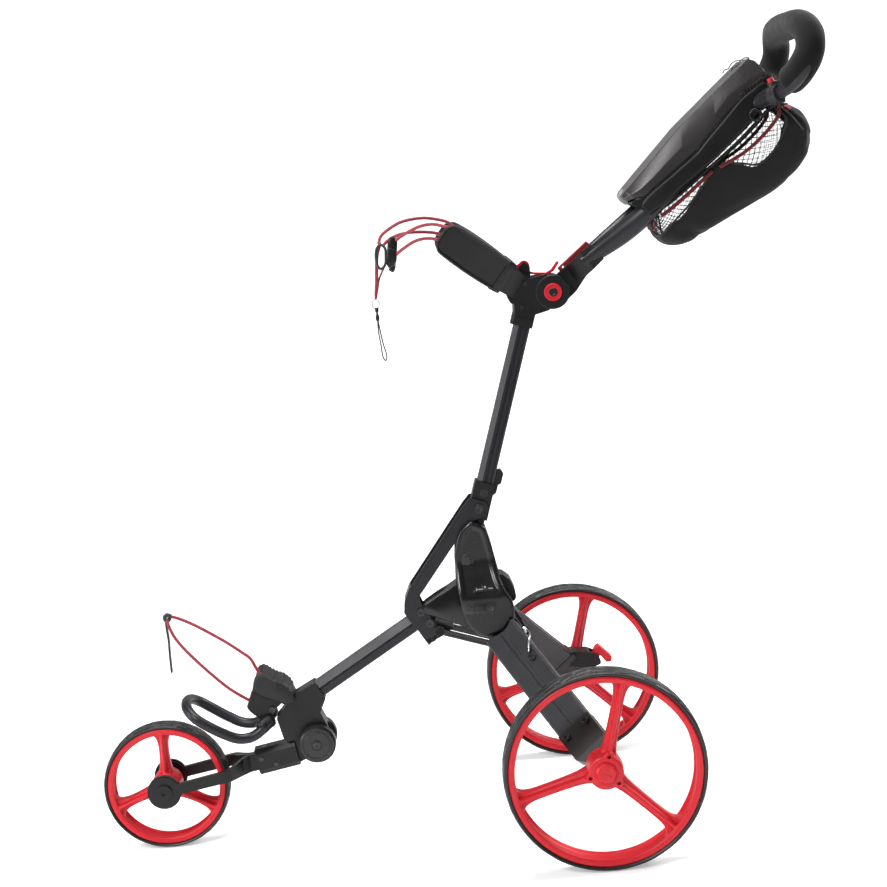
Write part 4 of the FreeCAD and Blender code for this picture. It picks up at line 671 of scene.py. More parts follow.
def tread_depth(turns, y, half_width):
    """Depth cut from the tread. turns counts tread pitches, y runs across the tyre."""
    def zigzag(shift):
        return np.abs(((turns + shift) % 1.0) * 2 - 1) * 2 - 1

    band = np.abs(y) / half_width
    side = np.sign(y)
    wave = zigzag(0.0)
    shoulder = 0.66 + 0.17 * wave * side
    depth = 2.6 * (1 - smoothstep(0.040, 0.085, np.abs(band - shoulder)))
    # second zig-zag nearer the crown, half a pitch on
    crown = 0.40 + 0.13 * zigzag(0.5) * side
    depth += 2.0 * (1 - smoothstep(0.03, 0.07, np.abs(band - crown)))
    # angled sipes across the crown
    phase = (turns * 2.0 + y / 9.0) % 1.0
    sipe = 1 - smoothstep(0.05, 0.11, np.minimum(phase, 1 - phase))
    depth += 0.9 * sipe * (1 - smoothstep(0.24, 0.32, band))
    # triangular pockets inside each shoulder tooth
    pocket = smoothstep(0.10, 0.22, wave * side) * (1 - smoothstep(0.90, 0.94, band))
    depth += 1.7 * pocket * smoothstep(0.0, 0.03, band - (shoulder + 0.085))
    # fine centre groove
    depth += 0.8 * (1 - smoothstep(0.02, 0.05, band))
    return np.minimum(depth, 2.8)


def make_tyre(wheel):
    """Crowned tyre with a smooth bead lip and sidewall and a moulded tread."""
    half = wheel.tyre_width / 2.0
    seat, radius = wheel.seat, wheel.radius
    height = radius - seat
    profile = mirrored_profile([
        (seat, -half + 2.2), (seat + 0.22 * height, -half + 0.8),
        (seat + 0.5 * height, -half + 0.1), (seat + 0.72 * height, -half + 1.4),
        (seat + 0.88 * height, -half + 4.6), (radius - 0.45, -half + 10.0),
        (radius - 0.1, -half * 0.28), (radius, 0.0)])
    profile = catmull([(r, y, 0) for r, y in profile], 7)[:, :2]
    steps = int(wheel.tyre_steps * TYRE_DETAIL)
    angles = np.linspace(0, 2 * math.pi, steps, endpoint=False)
    angle, column = np.meshgrid(angles, np.arange(len(profile)), indexing="ij")
    r, y = profile[column, 0], profile[column, 1]
    pitches = round(2 * math.pi * radius / wheel.tread_pitch)
    depth = tread_depth(angle * pitches / (2 * math.pi), y, half)
    r = r - depth * smoothstep(seat + 0.55 * height, seat + 0.80 * height, r)
    points = np.stack([wheel.x + r * np.cos(angle), y + wheel.y, radius + r * np.sin(angle)], -1)
    name, replaces = wheel_names("tyre", wheel.position)
    add_piece(name, points.reshape(-1, 3), revolved_faces(steps, len(profile)), "tyre",
              wheel.body, replaces)


def rim_ring(wheel):
    half, seat = wheel.rim_width / 2.0, wheel.seat
    lip = 9.5
    loop = mirrored_profile([
        (seat, half - 2.2), (seat - 1.6, half), (seat - 4.5, half - 0.2),
        (seat - lip, half - 1.4), (seat - lip - 0.6, half - 4.5), (seat - 6.4, half - 8.5),
        (seat - 5.6, 0)])
    return lathe(loop[-1:] + loop[:-1], wheel.x, wheel.radius, 160)


def rim_hub(wheel):
    radius, half = wheel.hub_radius, wheel.hub_width / 2
    profile = mirrored_profile([
        (0.01, -half), (radius - 3, -half), (radius, -half + 2.5), (radius + 1.5, 0)])
    return lathe(profile, wheel.x, wheel.radius, 64)


def rim_spoke(wheel, angle):
    """Ridged spoke that flares into the hub and the ring."""
    c, s = math.cos(math.radians(angle)), math.sin(math.radians(angle))
    hub = wheel.hub_radius
    inner, outer = hub * 0.35, wheel.seat - 5.0
    stations = 22
    points = []
    for i in range(stations + 1):
        share = i / stations
        r = inner + (outer - inner) * share
        to_ring = outer - r
        past_hub = max(0, r - hub)
        flare = 17.0 * math.exp(-to_ring / 7.5) + 5.0 * math.exp(-max(0, r - hub * 0.8) / 12.0)
        wide = wheel.spoke_width / 2.0 * (1.0 + 0.10 * (1 - share)) + flare
        flank = 8.0 + 3.0 * math.exp(-past_hub / 16.0) + 4.0 * math.exp(-to_ring / 9.0)
        ridge = 15.2 + 3.0 * math.exp(-past_hub / 22.0) + 3.0 * math.exp(-to_ring / 12.0)
        ridge_wide = wheel.spoke_width * 0.13 + math.exp(-to_ring / 8.0)
        face = [(-wide, flank * 0.55), (-wide + 1.6, flank), (-ridge_wide - 2.6, flank - 1.2),
                (-ridge_wide, ridge), (ridge_wide, ridge), (ridge_wide + 2.6, flank - 1.2),
                (wide - 1.6, flank), (wide, flank * 0.55)]
        points += [(wheel.x + c * r - s * across, y, wheel.radius + s * r + c * across)
                   for across, y in mirrored_profile(face)]
    return points, skin_faces(stations + 1, 16)


def screw_centre(wheel, angle):
    reach = wheel.hub_radius - 1.5
    turn = math.radians(angle)
    return wheel.x + reach * math.cos(turn), wheel.radius + reach * math.sin(turn)


def screw_pad(wheel, angle):
    """Round pad that carries a hub screw at the spoke's root."""
    low, high = -wheel.hub_width / 2 + 1.5, wheel.hub_width / 2 - 1.0
    profile = [(0.01, low), (6.6, low), (7.6, 0), (6.6, high), (0.01, high)]
    return lathe(profile, *screw_centre(wheel, angle), 24)


def rim_holes(wheel):
    """Cutting bodies: the shaft bore, or the screw pockets in the outer face."""
    if wheel.bore:
        ends, radius, steps = (wheel.y - 60, wheel.y + 60), wheel.bore, 40
        centres = [(wheel.x, wheel.radius)]
    else:
        side = 1 if wheel.y >= 0 else -1
        half = wheel.hub_width / 2
        ends = sorted((wheel.y + side * (half - 7.0), wheel.y + side * (half + 4.0)))
        radius, steps = 2.9, 24
        centres = [screw_centre(wheel, angle) for angle in wheel.spoke_angles]
    low, high = ends
    profile = [(0.01, low), (radius, low), (radius, high), (0.01, high)]
    return join([lathe(profile, *centre, steps) for centre in centres])


def make_rim(wheel):
    parts = [rim_ring(wheel), rim_hub(wheel)]
    for angle in wheel.spoke_angles:
        parts.append(rim_spoke(wheel, angle))
        if not wheel.bore:
            parts.append(screw_pad(wheel, angle))
    points, faces = join(parts)
    points = [(x, y + wheel.y, z) for x, y, z in points]
    name, replaces = wheel_names("rim", wheel.position)
    rim = add_remeshed(name, points, faces, RIM_VOXEL, 4, "red", wheel.body, replaces)
    points, faces = rim_holes(wheel)
    cutter = link_mesh("cutter", [place(*p) for p in points], faces)
    fix_normals(cutter.data)
    cut = rim.modifiers.new("bore", "BOOLEAN")
    cut.operation = "DIFFERENCE"
    cut.solver = "FAST"
    cut.object = cutter
    apply_modifiers(rim)
    bpy.data.objects.remove(cutter)
    smooth_below(rim, 50)


def make_hub_caps():
    """Stepped cap on each rear hub, with a raised ridge in line with each spoke."""
    height = WHEELS[0].radius
    profile = [(15.6, 302.6), (15.6, 304.6), (14.6, 306.6), (13.0, 307.6), (12.4, 308.9),
               (10.9, 309.6), (8.6, 309.2), (7.8, 309.2), (0.05, 309.2), (0.05, 307.9),
               (10.9, 307.9), (11.0, 302.6)]
    # (outward, sideways) from the axle
    ridge = [(1.4, -1.1), (6.6, -1.7), (7.2, 0), (6.6, 1.7), (1.4, 1.1)]
    parts = [lathe(profile, 0, height, 72)]
    for angle in REAR_SPOKES:
        c, s = math.cos(math.radians(angle)), math.sin(math.radians(angle))
        outline = [(c * a - s * b, height + s * a + c * b) for a, b in ridge]
        parts.append(prism(outline, 309.0, 310.0))
    points, faces = join(parts)
    for side, tag in SIDES:
        add_piece("hub_cap_" + tag, on_side(points, side), faces, "red", "wheel_" + tag,
                  smooth_angle=38)


# ---------------------------------------------------------------- handle grip
# left half of the handle bow (x, y, z), from the console outwards and up to the middle
BOW_HALF = [
    (-318, 56, 1052), (-331, 70, 1060), (-345, 90, 1070), (-359, 113, 1080), (-369, 127, 1090),
    (-378, 134.5, 1104), (-385, 136, 1120), (-387, 131, 1136), (-385, 119, 1149),
    (-382, 98, 1157), (-380, 60, 1160.5), (-380, 14, 1161)]


def make_grip_foam():
    """Foam sleeve over the bow, slightly uneven, with rounded ends. The bow's roots stay bare."""
    bow = catmull(mirrored(BOW_HALF), 12)
    path = np.array([p for p in bow if not (p[0] > -356 and p[2] < 1100)])
    lengths = arc_lengths(path)

    def section(i, _share):
        from_end = min(lengths[i], lengths[-1] - lengths[i])
        swell = 0.5 * math.exp(-((from_end - 9) / 8.0) ** 2)
        radius = 21.0 + 0.4 * math.sin(lengths[i] / 31.0) + swell
        inside = min(1.0, from_end / 5.0)
        radius *= 0.80 + 0.20 * math.sqrt(max(0, 1 - (1 - inside) ** 2))
        return circle(radius, 40)

    points, faces, _uvs = sweep(path, section)
    grip = add_remeshed("grip_foam_sleeve", points, faces, 2.6, 5, "foam", "handle", "grip_foam")
    vertices = grip.data.vertices
    normals = [v.normal.copy() for v in vertices]
    noise_scale, noise_start, depth = 45, Vector((9.3, 5.1, 2.7)), 0.7 / 1000.0
    for vertex, normal in zip(vertices, normals):
        vertex.co += normal * (noise.noise(vertex.co * noise_scale + noise_start) * depth)
    grip.data.update()


def make_grip_stubs():
    """Bare bow roots between the console and the foam."""
    points = [(-319, 55, 1052.5)] + BOW_HALF[1:4]
    for side, tag in SIDES:
        tube("grip_stub_" + tag, on_side(points, side), 11.0, "alu", "handle",
             steps=6, sides=28)


# ---------------------------------------------------------------- net bag
# (x, z) from front to rear at matched stations: the top edge, and the belly's lowest line
BAG_TOP = [(-152, 899), (-153.5, 901), (-157, 904), (-167, 911), (-184, 923), (-206, 939),
           (-232, 959), (-262, 981), (-290, 1003), (-316, 1026), (-338, 1045), (-352, 1049),
           (-366, 1048)]
BAG_BELLY = [(-152.5, 897), (-156.5, 884), (-162, 869), (-176, 857), (-198, 855), (-228, 864),
             (-264, 884), (-306, 904), (-346, 924), (-380, 951), (-400, 981), (-402, 1010),
             (-392, 1034)]
TOP_LINE, BELLY_LINE = (catmull([(x, 0, z) for x, z in line], 20)
                        for line in (BAG_TOP, BAG_BELLY))
BAG_SPANS = len(TOP_LINE) - 1
DEPTH_POWER = 0.86    # shapes how depth grows from the top edge to the belly
BAG_GRID = ((220, 168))
NET_GRID = (74, 66)


def flat_noise(x, y, seed):
    return noise.noise(Vector((x, y, seed * 7.3)))


def bag_depth(v):
    """Share of the bag's depth at v."""
    return math.sin(math.pi * min(max(v, 0), 1)) ** DEPTH_POWER


def depth_v(depth, side):
    """The v that lies at a share of the depth on one side."""
    v = math.asin(min(1.0, depth ** (1 / DEPTH_POWER))) / math.pi
    return v if side > 0 else 1 - v


def bag_point(u, v, lift=0.0):
    """u runs front to rear, v from the left top edge under the belly to the right one."""
    spot = min(max(u, 0.0), 1.0) * BAG_SPANS
    i = min(int(spot), BAG_SPANS - 1)
    top = lerp(TOP_LINE[i], TOP_LINE[i + 1], spot - i)
    belly = lerp(BELLY_LINE[i], BELLY_LINE[i + 1], spot - i)
    phase = math.pi * min(max(v, 0.0), 1.0)
    c, s = math.cos(phase), math.sin(phase)
    side = 1 if c > 0 else -1
    narrowing = 1.0 - 0.30 * math.exp(-u / 0.05) - 0.34 * math.exp(-(1 - u) / 0.06)
    half_width = (47.0 + 3.0 * s) * narrowing
    # gathers from the rim, long drapes, small creases, then tight gathers near the rear
    swing = 2.2 * math.sin(v * 5 + side) + 3.0 * flat_noise(u * 6, v * 4, 1)
    folds = 2.9 * math.sin(u * 41 + swing) * (0.35 + 0.65 * abs(c))
    folds += 5.0 * flat_noise(u * 7.0, v * 3.4, 2)
    folds += 2.6 * flat_noise(u * 19.0, v * 10.0, 3)
    folds += 2.8 * math.sin(u * 95 + v * 9) * smoothstep(0.82, 0.95, u) * abs(c)
    fade = s ** 1.2
    folds *= fade
    depth = s ** DEPTH_POWER
    down = (belly - top) / max(1.0, np.linalg.norm(belly - top))
    point = lerp(top, belly, depth) + down * depth * (min(folds, 0) - 1.2 + lift)
    point[1] = math.copysign(abs(c) ** 0.52, c) * half_width
    point[1] += side * (abs(c) ** 0.6) * (folds * 0.55 * fade + lift)
    return point


def in_window(u, v):
    """True where the bag is open netting. The right side's windows are larger."""
    depth = bag_depth(v)
    right = v > 0.5
    extra = 0.22 if right else 0.0
    if u < 0.035 or depth < 0.03:
        return False
    if u < 0.30:
        limit = 0.96 - 0.5 * smoothstep(0.14 + extra * 0.3, 0.30 + extra * 0.4, u)
        return 0.04 < depth < limit and (right or not (0.205 < u < 0.222))
    if u < 0.505 + extra * 0.1:
        return 0.05 < depth < 0.46 + extra - 0.30 * smoothstep(0.33, 0.50, u)
    if 0.585 - extra * 0.15 < u < 0.855 + extra * 0.12:
        rise = 0.38 * smoothstep(0.585 - extra * 0.2, 0.66 - extra * 0.2, u)
        limit = 0.12 + extra * 0.8 + rise - 0.16 * smoothstep(0.74, 0.85, u)
        return 0.05 < depth < limit
    return False


def make_bag_shell():
    rows, columns = BAG_GRID
    points = [bag_point(i / rows, j / columns)
              for i in range(rows + 1) for j in range(columns + 1)]
    faces = []
    for face in grid_faces(rows + 1, columns + 1):
        i, j = divmod(face[0], columns + 1)
        if not in_window((i + 0.5) / rows, (j + 0.5) / columns):
            faces.append(face)
    used = sorted({k for face in faces for k in face})
    index = {k: i for i, k in enumerate(used)}
    shell = add_piece("bag_fabric_shell", [points[k] for k in used],
                      [tuple(index[k] for k in face) for face in faces],
                      "fabric", "handle", "net_bag")
    solidify(shell, 1.1)
    smooth_below(shell, 60)


def make_bag_netting():
    """Diamond lattice of thin strands over the windows."""
    rows, columns = NET_GRID
    points, faces, index = [], [], {}

    def knot(i, j):
        if (i, j) not in index:
            index[(i, j)] = len(points)
            shift_u = 0.25 * flat_noise(i * 3.7, j * 2.9, 5) / rows
            shift_v = 0.25 * flat_noise(i * 2.3, j * 4.1, 6) / columns
            points.append(bag_point(i / rows + shift_u, j / columns + shift_v, -0.4))
        return index[(i, j)]

    for i in range(1, rows):
        for j in range(1, columns):
            corners = ((i - 1, j), (i, j - 1), (i + 1, j), (i, j + 1))
            if (i + j) % 2 and any(in_window(a / rows, b / columns)
                                   for a, b in ((i, j), *corners)):
                faces.append(tuple(knot(*corner) for corner in corners))
    net = add_piece("bag_netting", points, faces, "net", "handle")
    strands = net.modifiers.new("strands", "WIREFRAME")
    strands.thickness = 0.0011
    strands.use_replace = True
    strands.use_even_offset = False
    strands.use_boundary = True
    apply_modifiers(net)


Trim = namedtuple("Trim", "name look radius lift points path_steps sides flatness left_only",
                  defaults=(10, 10, 1.0, False))
# bands sewn on the bag, through (u, share of depth)
BAG_TRIMS = [
    Trim("piping_front", "piping", 3.0, 1.2,
         [(0.25, 0.16), (0.34, 0.14), (0.43, 0.12), (0.53, 0.10)]),
    Trim("piping_rear", "piping", 4.6, 1.8,
         [(0.565, 0.13), (0.65, 0.20), (0.74, 0.22), (0.83, 0.20), (0.88, 0.10)], flatness=0.6),
    Trim("piping_nose", "piping", 1.8, 0.8, [(0.115, 0.30), (0.125, 0.55), (0.12, 0.85)]),
    Trim("strap", "web", 4.2, 1.6, [(0.905, 0.05), (0.90, 0.25), (0.885, 0.5), (0.87, 0.7)],
         sides=12, flatness=0.28),
    Trim("window_hem_a", "web", 1.5, 0.5,
         [(0.05, 0.94), (0.14, 0.955), (0.22, 0.70), (0.30, 0.47), (0.40, 0.32), (0.505, 0.15)],
         path_steps=8, sides=8, left_only=True),
    Trim("window_hem_b", "web", 1.5, 0.5,
         [(0.575, 0.10), (0.625, 0.31), (0.67, 0.50), (0.76, 0.47), (0.855, 0.33),
          (0.862, 0.05)],
         path_steps=8, sides=8, left_only=True),
    Trim("brace_a", "web", 1.5, 0.4, [(0.10, 0.05), (0.17, 0.45), (0.235, 0.66)], sides=8),
    Trim("brace_b", "web", 1.5, 0.4, [(0.20, 0.05), (0.165, 0.40), (0.10, 0.62)], sides=8),
]


def make_bag_trims():
    for side, tag in SIDES:
        rim_v = depth_v(0.012, side)
        rim = [bag_point(u, rim_v, 0.6) for u in np.linspace(0.0, 1.0, 34)]
        tube("bag_rim_binding_" + tag, rim, 2.6, "web", "handle", steps=3, sides=10,
             flatness=0.7)
        for trim in BAG_TRIMS:
            if trim.left_only and side < 0:
                continue
            line = catmull([(u, depth_v(d, side), 0) for u, d in trim.points], trim.path_steps)
            tube("bag_%s_%s" % (trim.name, tag),
                 [bag_point(u, v, trim.lift) for u, v, _ in line], trim.radius, trim.look,
                 "handle", steps=2, sides=trim.sides, flatness=trim.flatness)
        make_bag_patch(side, tag)


def make_bag_patch(side, tag):
    """Red fabric patch near the rear."""
    rows, columns = 12, 14
    points = [bag_point(u, depth_v(depth, side), 1.6)
              for u in np.linspace(0.925, 0.975, rows)
              for depth in np.linspace(0.10, 0.30, columns)]
    patch = add_piece("bag_red_patch_" + tag, points, grid_faces(rows, columns), "patch",
                      "handle")
    solidify(patch, 1.0)


# ---------------------------------------------------------------- console
# lid lines (x, z) from front to rear at matched stations
LID_SPLIT = [
    (-121, 928), (-131, 930.6), (-144, 932.6), (-160, 945.4), (-182, 961), (-204, 977),
    (-226, 993.5), (-234, 1002.6), (-254, 1023), (-274, 1043), (-294, 1063.5), (-311, 1075),
    (-328, 1085.6), (-334, 1087)]
LID_CREASE = [
    (-116, 934), (-126, 938), (-140, 945), (-158, 958), (-182, 980), (-205, 1000),
    (-228, 1014), (-240, 1022), (-256, 1042), (-280, 1069), (-298, 1080), (-313, 1090),
    (-329, 1096), (-334, 1096)]
LID_TOP = [
    (-112, 935), (-116, 941), (-130, 955), (-152, 977), (-178, 1003), (-204, 1029),
    (-226, 1047.5), (-240, 1059), (-258, 1074.5), (-276, 1089.5), (-294, 1104.5),
    (-310, 1118), (-321, 1114), (-334, 1100)]


def make_lid():
    points = []
    stations = len(LID_SPLIT)
    for i, (split, crease, top) in enumerate(zip(LID_SPLIT, LID_CREASE, LID_TOP)):
        share = i / (stations - 1)
        nose = smoothstep(0, 0.12, share)
        x, z = top
        top_y = (47.0 + 2.5 * math.sin(share * math.pi)) * (0.74 + 0.26 * nose)
        crown_y = top_y - 7.0
        points += mirrored([
            (split[0], 57.8 * (0.80 + 0.20 * nose), split[1]),
            (crease[0], 57.0 * (0.78 + 0.22 * nose), crease[1]),
            (x, top_y, z), (x, crown_y, z), (x, crown_y * 0.5, z - 0.7), (x, 0.0, z - 1.2)])
    columns = 11
    faces = grid_faces(stations, columns)
    faces.append(tuple(range(columns)))
    faces.append(tuple(reversed(range((stations - 1) * columns, stations * columns))))
    lid = add_piece("console_lid_shell", points, faces, "lid", "lid", "console_lid")
    solidify(lid, 2.4, offset=-1, even=True)
    bevel(lid, 1.1, 3, 14)


def make_lid_fittings():
    # ribbed dark recess on each side of the lid's rear edge
    recess = [(-293, 1066.5), (-297.8, 1061), (-318, 1071.5), (-333, 1080), (-336.5, 1078),
              (-338, 1081.5), (-333.5, 1088.5), (-327.5, 1089.5)]
    ribs = 7
    for side, tag in SIDES:
        add_prism("lid_recess_" + tag, recess, side * 57.6, side * 60.2, "plastic", "handle", 0.4)
        for k in range(ribs):
            share = k / (ribs - 1)
            x, z = -301 - 28 * share, 1069.5 + 14.5 * share
            rib = [(x - 0.8, z - 3.6), (x + 0.8, z - 3.6), (x + 0.2, z + 4.2), (x - 1.4, z + 4.2)]
            add_prism("lid_rib_%s_%d" % (tag, k), rib, side * 60.0, side * 61.6, "gloss",
                      "handle", 0.25)
    # clear hooked tab at the lid's front end
    tab = [(-110.5, 934), (-114, 927.5), (-121, 921.5), (-124.5, 925), (-119, 938),
           (-121.5, 944), (-117, 944.5)]
    add_prism("lid_nose_tab", tab, -16, 16, "clear", "lid", 0.9)
    # wire clip at the rear top edge
    clip = mirrored([
        (-287, 38, 1103), (-290, 40, 1107.5), (-296, 41, 1109), (-300, 41, 1114.5),
        (-306, 40, 1119), (-313, 37, 1119.6), (-317, 24, 1119), (-317.5, 0, 1118.8)])
    tube("lid_wire_clip", clip, 0.8, "black_steel", "lid", steps=6, sides=8)
    for side, tag in SIDES:
        seam = [(x, side * 58.6, z - 1.6) for x, z in LID_SPLIT[1:]]
        tube("console_seam_" + tag, seam, 1.1, "gloss", "handle", steps=3, sides=8)
        ring = [(-314 + a, side * 66.0, 1036 + b) for a, b in circle(8.2, 24)]
        tube("socket_ring_" + tag, ring, 1.5, "gloss", "handle", steps=2, sides=10, closed=True)


def inset_outline(outline, distance):
    """Move a clockwise (x, z) outline inwards."""
    along = np.roll(outline, -1, 0) - np.roll(outline, 1, 0)
    along = along / np.maximum(1e-6, np.linalg.norm(along, axis=1))[:, None]
    return outline + np.stack([along[:, 1], -along[:, 0]], -1) * distance


def make_console_skirts():
    """Side plates below the lid's split line."""
    lower = [(-137.5, 919.5), (-149.7, 907.0), (-200, 942), (-253.9, 980.5), (-300, 1020),
             (-334, 1052.5), (-342.5, 1066), (-340.5, 1076)]
    upper = [(x, z - 3.4) for x, z in reversed(LID_SPLIT[2:-1])]
    outline = smooth_outline(lower + upper, 2)
    # (y, inset)
    stations = ((58.2, 0.2), (61.0, 0.2), (62.6, 0.9), (63.4, 2.4), (63.6, 4.2))
    for side, tag in SIDES:
        sections = [[(x, side * y, z) for x, z in inset_outline(outline, inset)]
                    for y, inset in stations]
        add_loft("console_skirt_" + tag, sections, "plastic", "handle", 30)


# ---------------------------------------------------------------- upper bag support
# directions square to and along the pad's height, in the xz plane
PAD_ACROSS = np.array((0.770, 0, 0.638))
PAD_UP = np.array((-0.638, 0, 0.770))
# centre line of the left pad (x, y, z), root to tip, and (height, twist in degrees) along it
PAD_LINE = [(78, 52.5, 839.5), (86, 58, 846), (102, 67, 859.5), (118, 75, 873),
            (135, 80.5, 887), (150, 84, 899), (159, 85, 906)]
PAD_SHAPE = [(50, 30), (52, 30), (54, 24), (54.5, 18), (53, 13), (49, 8), (40, 8)]
# stations of the collar behind the pad: x, y, z, height, thickness, twist in degrees
COLLAR = ((69, 44.5, 832, 52, 16.5, 40), (79, 53, 840, 54, 17, 34))


def pad_outward(twist):
    angle = math.radians(twist)
    return np.array((PAD_ACROSS[0] * -math.sin(angle), math.cos(angle),
                     PAD_ACROSS[2] * -math.sin(angle)))


def bag_pad():
    """Left pad: ribbed face inside a raised lip, rounded at the tip."""
    path = catmull(PAD_LINE, 8)
    shape = catmull([(height, twist, 0) for height, twist in PAD_SHAPE], 8)
    rows, columns, ribs = len(path), 31, 14
    outer, inner = [], []
    for i, (centre, (height, twist, _)) in enumerate(zip(path, shape)):
        share = i / (rows - 1)
        tip = max(0.0, (share - 0.80) / 0.20)
        half = height / 2.0 * (0.42 + 0.58 * math.sqrt(max(0.0, 1 - tip ** 2)))
        outward = pad_outward(twist)
        for j in range(columns):
            across = j / (columns - 1)
            position = -1 + 2 * across
            edge = max(abs(position), tip)
            lip = smoothstep(0.80, 0.90, edge) * (1 - smoothstep(0.965, 1.0, edge))
            rib = 0.45 * (0.5 + 0.5 * math.cos(across * math.pi * 2 * ribs))
            rib *= (1 - smoothstep(0.66, 0.78, edge)) * smoothstep(0.03, 0.10, share)
            base = centre + PAD_UP * position * half
            rise = 5.8 + 2.4 * lip + rib - 2.2 * smoothstep(0.95, 1.0, edge)
            outer.append(base + outward * rise)
            inner.append(base + outward * (-5.4 + 1.8 * smoothstep(0.93, 1.0, edge)))
    return outer + inner, slab_faces(rows, columns)


def bag_arm_collar():
    """Left collar band: two rounded-square rings round the arm behind the pad."""
    sides = 20
    points = []
    for x, y, z, height, thickness, twist in COLLAR:
        outward = pad_outward(twist)
        for c, s in circle(1.0, sides):
            out = math.copysign(abs(c) ** 0.5, c)
            up = math.copysign(abs(s) ** 0.5, s)
            points.append(np.array((x, y, z)) + outward * out * thickness / 2
                          + PAD_UP * up * height / 2)
    return points, skin_faces(len(COLLAR), sides)


def make_bag_pads():
    pad_points, pad_faces = bag_pad()
    collar_points, collar_faces = bag_arm_collar()
    for side, tag in SIDES:
        add_piece("bag_pad_" + tag, on_side(pad_points, side), pad_faces, "rubber", "mast",
                  "upper_bag_pads", smooth_angle=50)
        collar = add_piece("bag_arm_collar_" + tag, on_side(collar_points, side), collar_faces,
                           "plastic", "mast")
        bevel(collar, 1.2, 3, 40)


# ---------------------------------------------------------------- hub covers
# front and rear edges of the cover (x, z), top to bottom
COVER_FRONT = [
    (154, 469), (167.5, 459.5), (176, 445), (180.5, 428), (182.6, 407), (182.6, 384),
    (181.6, 366), (180.0, 350), (179.0, 336), (174.5, 322), (167, 309), (157, 299),
    (149, 295), (143, 294)]
COVER_REAR = [
    (154, 469), (146, 466.5), (133, 459), (125, 428), (117, 382), (108.5, 359), (102, 347),
    (99.5, 336), (99.3, 322), (104, 309), (116, 303), (129, 297.5), (143, 294)]
COVER_TOP, COVER_BOTTOM = COVER_FRONT[0][1], COVER_FRONT[-1][1]
COVER_OUTLINE = smooth_outline(COVER_FRONT + COVER_REAR[-2:0:-1], 4)
COVER_GRID = ((120, 72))


def edge_x(edge, z):
    for (x0, z0), (x1, z1) in zip(edge, edge[1:]):
        if (z0 - z) * (z1 - z) <= 0 and z0 != z1:
            return x0 + (x1 - x0) * (z - z0) / (z1 - z0)
    return edge[-1][0]


def outline_distance(x, z):
    point = np.array((x, z))
    along = np.roll(COVER_OUTLINE, -1, 0) - COVER_OUTLINE
    reach = ((point - COVER_OUTLINE) * along).sum(1) / np.maximum(1e-9, (along ** 2).sum(1))
    nearest = COVER_OUTLINE + along * np.clip(reach, 0, 1)[:, None]
    return float(np.sqrt(((nearest - point) ** 2).sum(1).min()))


def cover_height(x, z):
    """Outer face: a slim tower that swells towards the bottom."""
    distance = outline_distance(x, z)
    height = 31.8 + 20.4 * smoothstep(412, 352, z)
    inside = min(1.0, distance / 4.5)
    height -= 3.8 * (1 - math.sqrt(max(0.0, 1 - (1 - inside) ** 2)))
    # shallow dish inside a raised rim on the tower
    return height - 1.5 * smoothstep(6.5, 11.5, distance) * smoothstep(352, 372, z)


def cover_shell():
    rows, columns = COVER_GRID
    outer, inner = [], []
    for i in range(rows + 1):
        share = 0.5 - 0.5 * math.cos(math.pi * i / rows)
        z = COVER_TOP - (COVER_TOP - COVER_BOTTOM) * share
        z = min(COVER_TOP - 0.2, max(COVER_BOTTOM + 0.2, z))
        front, rear = edge_x(COVER_FRONT, z), edge_x(COVER_REAR, z)
        for j in range(columns + 1):
            x = front + (rear - front) * (0.5 - 0.5 * math.cos(math.pi * j / columns))
            # over the boss the cover is a thin cap, elsewhere it reaches in to the beam
            boss = math.hypot(x - 140, z - 333) < 37.2 or (x > 163.5 and z < 351.5)
            height = cover_height(x, z)
            outer.append((x, max(height, 49.3) if boss else height, z))
            inner.append((x, 48.5 if boss else 21.2, z))
    return outer + inner, slab_faces(rows + 1, columns + 1)


def tower_bolt():
    """Hex bolt on a washer."""
    x, z, base, radius = 164.4, 410.2, 29.5, 7.6
    top = base + 4.2
    washer = [(0.01, base), (radius + 2.6, base), (radius + 2.6, base + 1.1),
              (radius + 1.9, base + 1.7), (0.01, base + 1.7)]
    head = [(radius, base + 1.6), (radius, top), (radius * 0.86, top + 0.9)]
    return join([lathe(washer, x, z, 40), hex_head(head, x, z, turn=12)])


def make_hub_covers():
    skirt = [(158, 374), (184.5, 373), (197, 365.5), (215, 356.5), (231, 347), (240.2, 340.5),
             (241.4, 337), (233, 332.5), (213, 324.2), (199, 317.5), (184, 310), (170, 302.5),
             (158, 297.5), (150, 308), (150, 362)]
    badge = [(175.5, 350), (172.5, 352.5), (132, 350), (126, 346), (126.8, 334), (131, 330.5),
             (174, 332.5), (178.5, 337)]
    badge_inset = [(161.5, 347.5), (141, 346.3), (141.8, 334.6), (162.3, 335.7)]
    shell_points, shell_faces = cover_shell()
    bolt_points, bolt_faces = tower_bolt()
    for side, tag in SIDES:
        add_piece("hub_cover_shell_" + tag, on_side(shell_points, side), shell_faces, "gloss",
                  "chassis", "hub_cover_" + tag, smooth_angle=42)
        add_prism("hub_cover_skirt_" + tag, skirt, side * 21.1, side * 23.4, "gloss",
                  "chassis", 0.7)
        add_piece("hub_tower_bolt_" + tag, on_side(bolt_points, side), bolt_faces,
                  "black_steel", "chassis", smooth_angle=30)
        add_prism("hub_badge_" + tag, badge, side * 51.0, side * 52.3, "badge", "chassis", 0.5)
        add_prism("hub_badge_inset_" + tag, badge_inset, side * 52.0, side * 52.9, "alu",
                  "chassis", 0.4)


